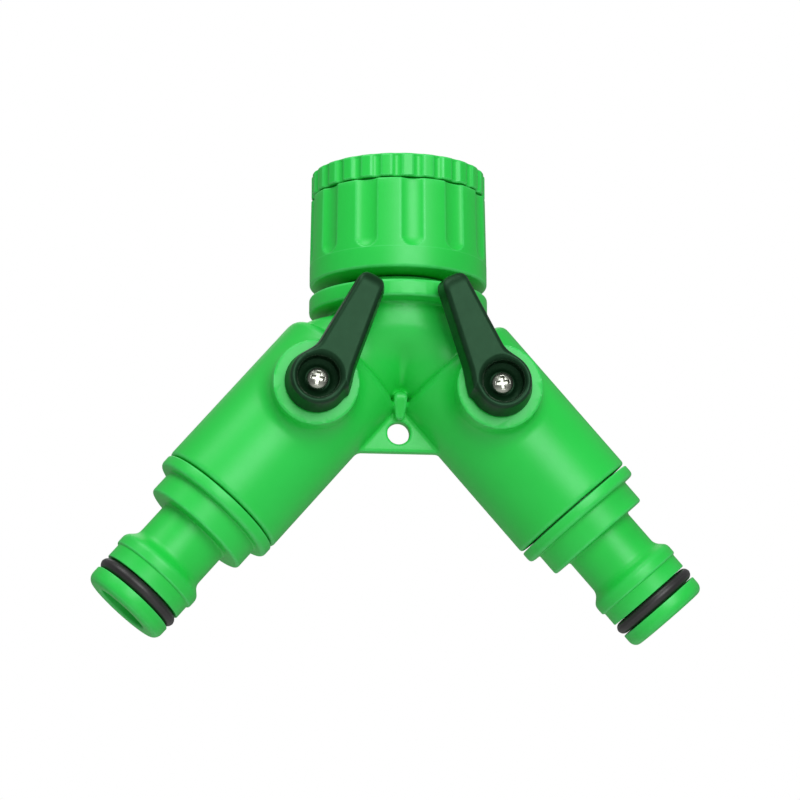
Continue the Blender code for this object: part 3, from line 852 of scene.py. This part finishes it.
@dataclass
class Housing:
    """The moulded body: flange, two arms with a valve boss each, and the ear between them."""

    layout: Layout
    step: float = 0.36 * MM
    kept_faces: float = 0.62
    flange_radius: float = 15.9 * MM
    flange_top: float = 1.25 * MM
    flange_bottom: float = -1.75 * MM
    rim_radius: float = 10.6 * MM
    rim_top: float = 3.1 * MM
    trunk_radius: float = 11.8 * MM
    trunk_bottom: float = -9.5 * MM
    shoulder_height: float = -3.4 * MM
    arm_radius: float = 12.0 * MM
    arm_start: float = 14.4 * MM
    arm_end: float = 47.5 * MM
    root_radius: float = 10.5 * MM
    boss_radius: float = 7.5 * MM
    boss_front: float = 16.4 * MM
    ear_top: float = -15.0 * MM
    ear_bottom: float = -26.6 * MM
    ear_thickness: float = 2.4 * MM
    hole_height: float = -23.15 * MM
    hole_radius: float = 2.0 * MM
    spine_foot: Row = (-1.4 * MM, -21.0 * MM)
    spine_lean: float = math.radians(28.0)
    spine_length: float = 5.4 * MM
    spine_halves: Row = (0.75 * MM, 1.35 * MM)
    spine_thickness: float = 1.2 * MM
    socket_radius: float = 9.1 * MM
    socket_floor: float = -7.0 * MM
    bore_radius: float = 6.5 * MM
    passage_radius: float = 4.6 * MM
    chamber_radius: float = 9.0 * MM
    chamber_start: float = 14.5 * MM
    stem_radius: float = 3.3 * MM
    pocket_radius: float = 4.5 * MM
    pocket_depth: float = 9.6 * MM

    def distance(self, x: np.ndarray, y: np.ndarray, z: np.ndarray) -> np.ndarray:
        """Distances to the body's surface, in the junction's frame."""
        across = np.hypot(x, y)
        roots, tubes, bosses = [], [], []
        for side in Side:
            out, up = self.along_arm(side, x, z)
            from_axis = np.hypot(up, y)
            roots.append(
                rod(from_axis, out, self.root_radius, -2 * MM, self.arm_start + 3 * MM, 0.3 * MM))
            tube = rod(from_axis, out, self.arm_radius, self.arm_start, self.arm_end + 4 * MM, 1.4 * MM)
            tubes.append(keep(tube, out - self.arm_end, 0.7 * MM))
            valve = np.hypot(out - self.layout.valve_station, up - self.layout.valve_rise)
            bosses.append(rod(valve, -y, self.boss_radius, 2 * MM, self.boss_front, 0.25 * MM))
        root, tube = (
            keep(blend(*pair, 1.0 * MM), z - self.shoulder_height, 1.5 * MM) for pair in (roots, tubes))
        trunk = rod(across, z, self.trunk_radius, self.trunk_bottom, 2 * self.rim_top, 4.0 * MM)
        solid = blend(root, np.maximum(trunk, z), 3.0 * MM)
        solid = blend(solid, tube, 0.5 * MM)
        solid = blend(solid, np.minimum(*bosses), 2.4 * MM)
        flange = rod(across, z, self.flange_radius, self.flange_bottom, self.flange_top, 0.45 * MM)
        rim = rod(across, z, self.rim_radius, self.flange_bottom, self.rim_top, 0.3 * MM)
        solid = blend(solid, blend(flange, rim, 0.4 * MM), 0.7 * MM)
        solid = blend(solid, self.ear(x, y, z), 0.6 * MM)
        return self.hollow(solid, x, y, z)

    def along_arm(self, side: Side, x: np.ndarray, z: np.ndarray) -> tuple[np.ndarray, np.ndarray]:
        """How far out along an arm's axis points lie, and how far above it."""
        sine, cosine = math.sin(self.layout.arm_angle), math.cos(self.layout.arm_angle)
        outward = -side.value * x
        return outward * sine - z * cosine, outward * cosine + z * sine

    def ear(self, x: np.ndarray, y: np.ndarray, z: np.ndarray) -> np.ndarray:
        """Distances to the ear plate with its tapering spine."""
        half_width = (self.ear_top - z) * 0.55 + 4.5 * MM
        flat = np.maximum(slab(z, self.ear_bottom, self.ear_top), (np.abs(x) - half_width) * 0.88)
        plate = keep(flat, slab(y, -self.ear_thickness / 2, self.ear_thickness / 2), 0.5 * MM)
        sine, cosine = math.sin(self.spine_lean), math.cos(self.spine_lean)
        depth, height = self.spine_foot[0] - y, z - self.spine_foot[1]
        along = depth * sine + height * cosine
        foot, top = self.spine_halves
        reach = foot + (top - foot) * along / self.spine_length
        out = depth * cosine - height * sine
        spine = keep(np.abs(x) - reach, slab(out, -1.2 * MM, self.spine_thickness), 0.5 * MM)
        spine = keep(spine, slab(along, 0.0, self.spine_length), 1.4 * MM)
        return blend(plate, spine, 0.5 * MM)

    def hollow(self, solid: np.ndarray, x: np.ndarray, y: np.ndarray, z: np.ndarray) -> np.ndarray:
        """Takes the water's ways, the stems' ways and the ear's hole out of the body."""
        across = np.hypot(x, y)
        top = 3 * self.rim_top
        ways = np.minimum(
            rod(across, z, self.socket_radius, self.socket_floor, top, 0.2 * MM),
            rod(across, z, self.bore_radius, self.trunk_bottom, top, 0.4 * MM))
        for side in Side:
            out, up = self.along_arm(side, x, z)
            from_axis = np.hypot(up, y)
            station = self.layout.valve_station
            chamber = rod(
                from_axis, out, self.chamber_radius, self.chamber_start, self.arm_end * 1.2, 0.4 * MM)
            passage = rod(from_axis, out, self.passage_radius, 0.0, station, 0.2 * MM)
            valve = np.hypot(out - station, up - self.layout.valve_rise)
            stem = rod(valve, -y, self.stem_radius, 0.0, self.boss_front * 1.3, 0.2 * MM)
            pocket = rod(valve, -y, self.pocket_radius, 0.0, self.pocket_depth, 0.2 * MM)
            ways = np.minimum.reduce([ways, chamber, passage, stem, pocket])
        solid = carve(solid, ways, 0.3 * MM)
        hole = np.hypot(x, z - self.hole_height) - self.hole_radius
        through = np.maximum(hole, np.abs(y) - 4 * MM)
        return carve(solid, through, 0.4 * MM)

    def build(self, finish: bpy.types.Material) -> None:
        """Makes the body."""
        low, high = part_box("body_housing")
        base = Vector((0.0, 0.0, self.layout.junction))
        mesh = thinned(polygonise(self.distance, low - base, high - base, self.step), self.kept_faces)
        piece = piece_from("green_body", mesh, self.layout.inlet(), 60.0)
        hand_over(piece, "housing", ["body_housing"], finish)


@dataclass
class Inlet:
    """The swivel collar, the thread reducer in its mouth, the sleeve that holds it and the washers."""

    layout: Layout
    relief: ReliefTree
    pitch: float = 1.814 * MM
    thread_depth: float = 1.1 * MM
    collar_bottom: float = 3.4 * MM
    collar_top: float = 19.7 * MM
    collar_low_radius: float = 15.85 * MM
    collar_top_radius: float = 15.62 * MM
    collar_round: Row = (0.55 * MM, 0.6 * MM)
    rim_round: float = 0.35 * MM
    lip_radius: float = 9.2 * MM
    lip_top: float = 5.9 * MM
    thread_start: float = 11.0 * MM
    collar_root: float = 13.4 * MM
    flutes: int = 12
    flute_depth: float = 0.7 * MM
    flute_half_width: float = 2.0 * MM
    flute_end: float = 9.25 * MM
    flute_phase: float = math.radians(-87.0)
    head_radius: float = 15.6 * MM
    head_height: float = 4.15 * MM
    head_round: float = 0.4 * MM
    ribs: int = 26
    rib_depth: float = 0.6 * MM
    rib_half_width: float = 0.95 * MM
    reducer_minor: float = 12.0 * MM
    reducer_bottom: float = 11.1 * MM
    tap_root: float = 10.55 * MM
    shelf_top: float = 13.1 * MM
    washer_room: float = 2.6 * MM
    shelf_bore: float = 6.5 * MM
    sleeve_bore: float = 6.9 * MM
    sleeve_tube: float = 8.8 * MM
    sleeve_floor: float = -6.7 * MM
    sleeve_flange: float = 11.6 * MM
    sleeve_flange_thickness: float = 1.8 * MM
    sides: int = 312

    def build(self, green: bpy.types.Material, rubber: bpy.types.Material) -> None:
        """Makes all the inlet's pieces."""
        self.build_collar(green)
        self.build_reducer(green)
        self.build_sleeve(green)
        self.build_washers(rubber)

    def press_wall(
        self, name: str, rows: Sequence[WallRow], finish: bpy.types.Material, **values: float
    ) -> bpy.types.Object:
        """Turns rows into a piece and presses its flutes or ribs and its threads.

        Args:
            name: The piece's name.
            rows: The wall's rows, with heights from the junction.
            finish: The piece's material.
            values: The relief's own inputs, by name with _ for a space.

        Returns:
            The piece.
        """
        for row in rows:
            row.height += self.layout.junction
        piece = piece_from(name, wall(rows, self.sides), Matrix.Identity(4))
        self.relief.press(
            piece, Pitch=self.pitch, Thread_Depth=self.thread_depth, Thread_Datum=self.layout.junction,
            Finish=finish, **values)
        return piece

    def build_collar(self, finish: bpy.types.Material) -> None:
        """Makes the collar, fluted outside and threaded inside."""
        low = [
            (self.lip_radius, self.lip_top), (self.lip_radius, self.collar_bottom),
            (self.collar_low_radius - 1.6 * MM, self.collar_bottom)]
        wide, tall = self.collar_round
        centre = (self.collar_low_radius - wide, self.collar_bottom + tall)
        edge = arc(centre, self.collar_round, -math.pi / 2, 0.0, 8)
        band_top = self.flute_end - self.flute_half_width - 0.2 * MM
        rows = plain(low + edge)
        rows += spread(
            WallRow(self.collar_low_radius, band_top, 0.0),
            WallRow(self.collar_low_radius, band_top + 0.1 * MM, 1.0), 0.1 * MM)
        rows += spread(
            WallRow(self.collar_low_radius - 0.02 * MM, band_top + 0.2 * MM, 1.0),
            WallRow(self.collar_low_radius - 0.05 * MM, self.flute_end, 1.0), 0.12 * MM)
        rows += spread(
            WallRow(self.collar_low_radius - 0.06 * MM, self.flute_end + 0.3 * MM, 1.0),
            WallRow(self.collar_top_radius, self.collar_top - self.rim_round, 1.0), 1.0 * MM)
        centre = (self.collar_top_radius - self.rim_round, self.collar_top - self.rim_round)
        rows += plain(arc(centre, (self.rim_round, self.rim_round), 0.3, math.pi / 2, 5), 1.0)
        rows += plain([(self.collar_root + 0.3 * MM, self.collar_top)])
        rows += thread_wall(self.collar_root, self.collar_top, self.thread_start, self.pitch, "groove")
        rows += plain([(self.collar_root, self.lip_top)])
        piece = self.press_wall(
            "swivel_collar_nut", rows, finish, Count=float(self.flutes), Depth=self.flute_depth,
            Half_Width=self.flute_half_width, Phase=self.flute_phase,
            Round_End=self.flute_end + self.layout.junction)
        hand_over(piece, "collar", ["swivel_collar"], finish)

    def build_reducer(self, finish: bpy.types.Material) -> None:
        """Makes the reducer, ribbed round its head and threaded inside and out."""
        head_top = -self.layout.junction
        head_bottom = head_top - self.head_height
        thread_end = self.shelf_top + self.washer_room
        rows = plain([(self.shelf_bore, self.reducer_bottom + 0.3 * MM),
                      (self.shelf_bore + 0.3 * MM, self.reducer_bottom), (11.6 * MM, self.reducer_bottom)])
        rows += thread_wall(
            self.reducer_minor, self.reducer_bottom + 0.3 * MM, self.collar_top, self.pitch, "ridge")
        rows += plain([(12.5 * MM, head_bottom), (self.head_radius - 0.9 * MM, head_bottom)])
        rows += plain(
            [(self.head_radius - 0.2 * MM, head_bottom), (self.head_radius, head_bottom + 0.2 * MM)], 1.0)
        rows += spread(
            WallRow(self.head_radius, head_bottom + 0.4 * MM, 1.0),
            WallRow(self.head_radius, head_top - 0.5 * MM, 1.0), 0.6 * MM)
        centre = (self.head_radius - self.head_round, head_top - self.head_round)
        bevel = arc(centre, (self.head_round, self.head_round), 0.0, math.pi / 2, 6)
        rows += [WallRow(radius, height, 1.0 - 0.18 * place) for place, (radius, height) in enumerate(bevel)]
        rows += plain([(self.head_radius - 1.0 * MM, head_top), (self.tap_root + 0.8 * MM, head_top),
                       (self.tap_root + 0.4 * MM, head_top - 0.3 * MM)])
        rows += thread_wall(self.tap_root, head_top - 0.5 * MM, thread_end, self.pitch, "groove")
        rows += plain([(self.tap_root, self.shelf_top), (self.shelf_bore + 0.3 * MM, self.shelf_top),
                       (self.shelf_bore, self.shelf_top - 0.3 * MM)])
        piece = self.press_wall(
            "thread_reducer", rows, finish, Count=float(self.ribs), Depth=self.rib_depth,
            Half_Width=self.rib_half_width, Phase=0.0, Round_End=-1.0)
        hand_over(piece, "reducer", ["reducer_ring"], finish)

    def build_sleeve(self, finish: bpy.types.Material) -> None:
        """Makes the flanged sleeve that the collar turns on."""
        flange_low = self.lip_top + CLEARANCE
        flange_top = flange_low + self.sleeve_flange_thickness
        corners = [
            (self.sleeve_bore, self.sleeve_floor), (self.sleeve_tube, self.sleeve_floor),
            (self.sleeve_tube, flange_low), (self.sleeve_flange, flange_low),
            (self.sleeve_flange, flange_top), (self.sleeve_bore, flange_top)]
        outline = soften(corners, [0.4 * MM, 0.4 * MM, 0.0, 0.3 * MM, 0.3 * MM, 0.5 * MM])
        piece = piece_from("flanged_sleeve", mesh_from(turned(outline, 128)), self.layout.inlet())
        hand_over(piece, "housing", ["inlet_sleeve"], finish)

    def build_washers(self, finish: bpy.types.Material) -> None:
        """Makes both flat washers, with rounded rims."""
        sleeve_top = self.lip_top + CLEARANCE + self.sleeve_flange_thickness
        places = {
            "collar": (self.sleeve_bore, self.sleeve_flange, sleeve_top + CLEARANCE,
                       self.reducer_bottom - CLEARANCE, "collar_washer"),
            "reducer_carrier": (self.shelf_bore, self.tap_root - CLEARANCE, self.shelf_top + CLEARANCE,
                                self.shelf_top + self.washer_room - CLEARANCE, "reducer_washer")}
        for body, (inner, outer, low, high, node) in places.items():
            outline = soften([(inner, low), (outer, low), (outer, high), (inner, high)], [0.35 * MM] * 4)
            piece = piece_from("flat_" + node, mesh_from(turned(outline, 96)), self.layout.inlet())
            hand_over(piece, body, [node], finish)


@dataclass
class Spigot:
    """An outlet spigot with its two sealing rings."""

    layout: Layout
    side: Side
    seat_room: float = 9.4 * MM
    bore: float = 4.7 * MM
    plug: float = 8.7 * MM
    flange_radius: float = 12.0 * MM
    flange_start: float = 47.8 * MM
    flange_end: float = 50.0 * MM
    step_radius: float = 10.0 * MM
    step_end: float = 54.4 * MM
    neck_radius: float = 6.75 * MM
    neck_end: float = 61.6 * MM
    bead_radius: float = 8.4 * MM
    bead_start: float = 63.15 * MM
    bead_end: float = 65.1 * MM
    land_radius: float = 8.0 * MM
    end: float = 73.3 * MM
    body_ring: tuple[float, float, float] = (8.2 * MM, 1.3 * MM, 40.0 * MM)
    hose_ring: tuple[float, float, float] = (7.1 * MM, 2.2 * MM, 69.2 * MM)
    ring_gap: float = 0.15 * MM
    sides: int = 144

    def outline(self) -> list[Row]:
        """The outline in (radius, station) order from the inner end out, with rounded corners."""
        start = self.layout.valve_station + self.seat_room
        corners: list[tuple[float, float, float]] = [
            (self.bore, start, 0.4), (self.plug, start, 0.5)]
        corners += self.groove(self.body_ring, self.plug, 0.1)
        corners += [
            (self.plug, self.flange_start, 0.0), (self.flange_radius, self.flange_start, 0.35),
            (self.flange_radius, self.flange_end, 0.9), (self.step_radius, self.flange_end, 0.35),
            (self.step_radius, self.step_end, 0.6), (self.neck_radius, self.step_end, 0.5),
            (self.neck_radius, self.neck_end, 0.9), (self.bead_radius, self.bead_start, 0.7),
            (self.bead_radius, self.bead_end, 0.3), (self.land_radius, self.bead_end + 0.2 * MM, 0.15)]
        corners += self.groove(self.hose_ring, self.land_radius, 0.2)
        corners += [
            (self.land_radius, self.end - 0.9 * MM, 0.8), (self.land_radius - 0.8 * MM, self.end, 0.6),
            (self.bore + 0.2 * MM, self.end, 0.5)]
        return soften([(radius, station) for radius, station, _ in corners],
                      [reach * MM for _, _, reach in corners])

    def groove(self, ring: tuple[float, float, float], wall_radius: float, edge: float) -> list[tuple]:
        """The corners of a ring's groove."""
        radius, thickness, station = ring
        half = thickness / 2 + self.ring_gap
        floor = radius - half
        return [(wall_radius, station - half, edge), (floor, station - half, 0.3),
                (floor, station + half, 0.3), (wall_radius, station + half, edge)]

    def build(self, green: bpy.types.Material, rubber: bpy.types.Material) -> None:
        """Makes the spigot and its rings."""
        word = self.side.word
        arm = self.layout.arm(self.side)
        outline = [(radius, -station) for radius, station in self.outline()]
        outline.reverse()
        piece = piece_from(f"{word}_spigot", mesh_from(turned(outline, self.sides)), arm, 50.0)
        hand_over(piece, "housing", [f"{word}_outlet_spigot"], green)
        for name, (radius, thickness, station) in (("body", self.body_ring), ("hose", self.hose_ring)):
            ring = self.ring(radius, thickness, -station)
            piece = piece_from(f"{word}_{name}_seal", mesh_from(ring), arm)
            hand_over(piece, "housing", [f"{word}_{name}_oring"], rubber)

    def ring(self, radius: float, thickness: float, height: float, steps: int = 28) -> bmesh.types.BMesh:
        """A sealing ring with the fine flash line that its mould leaves outside and inside."""
        outline = []
        for step in range(steps):
            turn = math.tau * step / steps
            flash = 0.03 * MM if step in (0, steps // 2) else 0.0
            outline.append((radius + (thickness / 2 + flash) * math.cos(turn),
                            height + thickness / 2 * math.sin(turn)))
        return turned(outline, self.sides)


@dataclass
class Valve:
    """A valve's lever and its screw. The recess has a (depth, radius) pair for each bend of its wall."""

    layout: Layout
    side: Side
    lever_step: float = 0.17 * MM
    screw_step: float = 0.065 * MM
    back: float = 16.7 * MM
    front: float = 21.6 * MM
    blade_draft: float = 0.5 * MM
    hub_radius: float = 5.55 * MM
    hub_draft: float = 0.85 * MM
    recess: tuple[Row, ...] = (
        (18.1 * MM, 2.15 * MM), (19.2 * MM, 3.5 * MM), (20.9 * MM, 3.65 * MM), (21.6 * MM, 4.25 * MM))
    length: float = 21.1 * MM
    root_half: float = 3.3 * MM
    tip_half: float = 2.55 * MM
    tip_slope: float = 1.1
    tip_bevel: float = 1.5 * MM
    screw_hole: float = 1.1 * MM
    screw_head: float = 1.9 * MM
    screw_height: float = 1.2 * MM
    screw_dome: float = 3.6 * MM
    cross_half: Row = (0.3 * MM, 1.25 * MM)
    cross_depth: float = 0.85 * MM
    cross_turn: float = math.radians(18.0)
    screw_shank: float = 0.8 * MM
    screw_point: float = 13.0 * MM

    @property
    def recess_floor(self) -> float:
        """How far forward the recess's floor lies."""
        return self.recess[0][0]

    def lever_distance(self, x: np.ndarray, y: np.ndarray, z: np.ndarray) -> np.ndarray:
        """Distances to the lever, in its pivot's frame, with +Z along it and -Y the front."""
        depth = -y
        inner = x * self.side.value
        across = np.hypot(x, z)
        tangent = math.asin(self.hub_radius / math.hypot(self.length, self.tip_half))
        tangent -= math.atan2(self.tip_half, self.length)
        share = np.clip(z / self.length, 0.0, 1.0)
        blade = keep(
            inner * math.cos(tangent) + z * math.sin(tangent) - self.hub_radius,
            -inner - (self.root_half + (self.tip_half - self.root_half) * share), 0.5 * MM)
        blade = keep(blade, (z - self.length) * 0.9, 1.8 * MM)
        blade = keep(blade, self.hub_radius * math.sin(tangent) - z, 0.1 * MM)
        rise = np.clip((depth - self.back) / (self.front - self.back), 0.0, 1.0)
        hub = across - self.hub_radius + self.hub_draft * rise
        outline = blend(hub, blade + self.blade_draft * rise, 1.8 * MM)
        lever = keep(outline, self.back - depth, 0.3 * MM)
        bevel = np.maximum(depth - self.front + self.tip_bevel, 0.0) * self.tip_slope
        tip_face = (z - self.length + bevel) * 0.7
        lever = keep(lever, tip_face, 0.6 * MM)
        lever = keep(lever, depth - self.front, 1.0 * MM)
        funnel = np.interp(depth, *zip(*self.recess))
        recess = np.maximum((across - funnel) * 0.75, self.recess_floor - depth)
        lever = carve(lever, recess, 0.4 * MM)
        bore = rod(across, depth, self.screw_hole, self.back - MM, self.recess_floor + MM, 0.05 * MM)
        return carve(lever, bore, 0.1 * MM)

    def screw_distance(self, x: np.ndarray, y: np.ndarray, z: np.ndarray) -> np.ndarray:
        """Distances to the pan-head screw with its cross recess, in the lever's frame."""
        depth = -y
        across = np.hypot(x, z)
        seat = self.recess_floor + CLEARANCE
        top = seat + self.screw_height
        dome = np.hypot(across, depth - (top - self.screw_dome)) - self.screw_dome
        head = keep(rod(across, depth, self.screw_head, seat, top + MM, 0.2 * MM), dome, 0.15 * MM)
        shank = rod(
            across, depth, self.screw_shank, self.screw_point + 0.5 * MM, seat + 0.4 * MM, 0.1 * MM)
        turn = self.cross_turn * self.side.value
        one = x * math.cos(turn) + z * math.sin(turn)
        other = -x * math.sin(turn) + z * math.cos(turn)
        taper = np.maximum(top - depth, 0.0) * 0.35
        narrow, wide = self.cross_half
        floor = top - self.cross_depth - depth
        cross = np.minimum(*(
            np.maximum.reduce([np.abs(across_slot) - narrow, np.abs(along_slot) - wide + taper, floor])
            for across_slot, along_slot in ((one, other), (other, one))))
        return carve(np.minimum(head, shank), cross, 0.08 * MM)

    def build(self, finishes: dict[Slot, bpy.types.Material]) -> None:
        """Makes the lever and the screw."""
        word = self.side.word
        body = f"{word}_valve"
        frame = self.layout.lever(self.side)
        reach = self.hub_radius + 0.3 * MM
        mesh = polygonise(
            self.lever_distance, (-reach, -self.front - 0.4 * MM, -reach),
            (reach, -self.back + 0.4 * MM, self.length + 0.4 * MM), self.lever_step)
        piece = piece_from(f"{word}_handle", mesh, frame, 60.0)
        hand_over(piece, body, [f"{word}_lever"], finishes[Slot.LEVER])
        head = self.screw_head + 0.2 * MM
        mesh = polygonise(
            self.screw_distance, (-head, -self.recess_floor - 2 * MM, -head),
            (head, -self.screw_point, head), self.screw_step)
        piece = piece_from(f"{word}_cross_screw", mesh, frame, 60.0)
        hand_over(piece, body, [f"{word}_lever_screw"], finishes[Slot.STEEL])


@dataclass(frozen=True)
class Studio:
    """The camera, the light and the floor."""

    focal_length: float = 131.98
    sensor: float = 36.0
    station: tuple[float, float, float] = (-0.0571, -0.5054, -0.15285)
    forward: tuple[float, float, float] = (0.1103, 0.9704, 0.2146)
    above: tuple[float, float, float] = (-0.0242, -0.2132, 0.9767)
    middle: tuple[float, float, float] = (0.0, 0.0, -0.045)
    room_light: float = 0.3
    floor_drop: float = 0.3

    def camera(self) -> None:
        """Makes the camera."""
        lens = bpy.data.cameras.new("camera")
        lens.lens = self.focal_length
        lens.sensor_width = self.sensor
        camera = bpy.data.objects.new("camera", lens)
        forward = Vector(self.forward).normalized()
        right = forward.cross(Vector(self.above)).normalized()
        above = right.cross(forward)
        camera.matrix_world = Matrix.Translation(self.station) @ Matrix(
            (right, above, -forward)).transposed().to_4x4()
        bpy.context.scene.collection.objects.link(camera)
        bpy.context.scene.camera = camera

    def light(self, name: str, place: Sequence[float], size: float, power: float) -> None:
        """Makes a soft square light that faces the splitter."""
        lamp = bpy.data.lights.new(name, "AREA")
        lamp.size = size
        lamp.energy = power
        made = bpy.data.objects.new(name, lamp)
        made.location = place
        made.rotation_euler = (Vector(self.middle) - Vector(place)).to_track_quat("-Z", "Y").to_euler()
        bpy.context.scene.collection.objects.link(made)

    def lights(self) -> None:
        """Makes the lights and the pale surroundings."""
        self.light("key", (0.10, -0.62, 0.16), size=0.42, power=2.9)
        self.light("top", (-0.25, -0.25, 0.50), size=0.35, power=1.5)
        self.light("rim", (0.0, 0.45, 0.35), size=0.35, power=0.35)
        world = bpy.data.worlds.new("pale_room")
        world.use_nodes = True
        tree = world.node_tree
        room = tree.nodes["Background"]
        room.inputs["Color"].default_value = (1.0, 1.0, 1.0, 1.0)
        room.inputs["Strength"].default_value = self.room_light
        seen = tree.nodes.new("ShaderNodeBackground")
        seen.inputs["Strength"].default_value = 1.0
        seen.inputs["Color"].default_value = (1.0, 1.0, 1.0, 1.0)
        path = tree.nodes.new("ShaderNodeLightPath")
        mix = tree.nodes.new("ShaderNodeMixShader")
        tree.links.new(path.outputs["Is Camera Ray"], mix.inputs["Fac"])
        tree.links.new(room.outputs[0], mix.inputs[1])
        tree.links.new(seen.outputs[0], mix.inputs[2])
        tree.links.new(mix.outputs[0], tree.nodes["World Output"].inputs["Surface"])
        bpy.context.scene.world = world
        bpy.context.scene.view_settings.view_transform = "Standard"

    def floor(self) -> None:
        """Makes the plain pale floor, well below the splitter, which hangs."""
        builder = bmesh.new()
        bmesh.ops.create_grid(builder, x_segments=1, y_segments=1, size=3.0)
        mesh = bpy.data.meshes.new("floor")
        builder.to_mesh(mesh)
        builder.free()
        mesh.transform(Matrix.Translation((0.0, 0.0, -self.floor_drop)))
        material = bpy.data.materials.new("pale_floor")
        material.use_nodes = True
        shader = material.node_tree.nodes["Principled BSDF"]
        shader.inputs["Base Color"].default_value = (0.85, 0.85, 0.84, 1.0)
        shader.inputs["Roughness"].default_value = 0.7
        mesh.materials.append(material)
        floor = bpy.data.objects.new("floor", mesh)
        bpy.context.scene.collection.objects.link(floor)

    def build(self) -> None:
        """Makes the whole studio."""
        self.camera()
        self.lights()
        self.floor()


def dress_hidden(frame: dict, finishes: dict[Slot, bpy.types.Material]) -> None:
    """Gives each frame node that still shows the finish of its slot.

    Args:
        finishes: The material of each slot.
    """
    for part in frame["record"]["subparts"]:
        node = frame["nodes"][part["node"]]
        if node.hide_render:
            continue
        node.data.materials.clear()
        node.data.materials.append(finishes[Slot(part["material_slot"])])
        LOG.info("%s keeps the frame's shape", part["node"])


def main() -> None:
    """Builds the splitter's looks round its frame."""
    logging.basicConfig(level=logging.INFO, format="%(name)s: %(message)s")
    for leftover in list(bpy.data.objects):
        bpy.data.objects.remove(leftover)
    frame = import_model()
    Studio().build()
    layout = Layout.from_frame(frame)
    effects = Effects()
    finishes = {slot: finish.material(effects) for slot, finish in FINISHES.items()}
    Housing(layout).build(finishes[Slot.GREEN])
    Inlet(layout, ReliefTree()).build(finishes[Slot.GREEN], finishes[Slot.RUBBER])
    for side in Side:
        Spigot(layout, side).build(finishes[Slot.GREEN], finishes[Slot.RUBBER])
        Valve(layout, side).build(finishes)
    dress_hidden(frame, finishes)


if __name__ == "__main__":
    main()
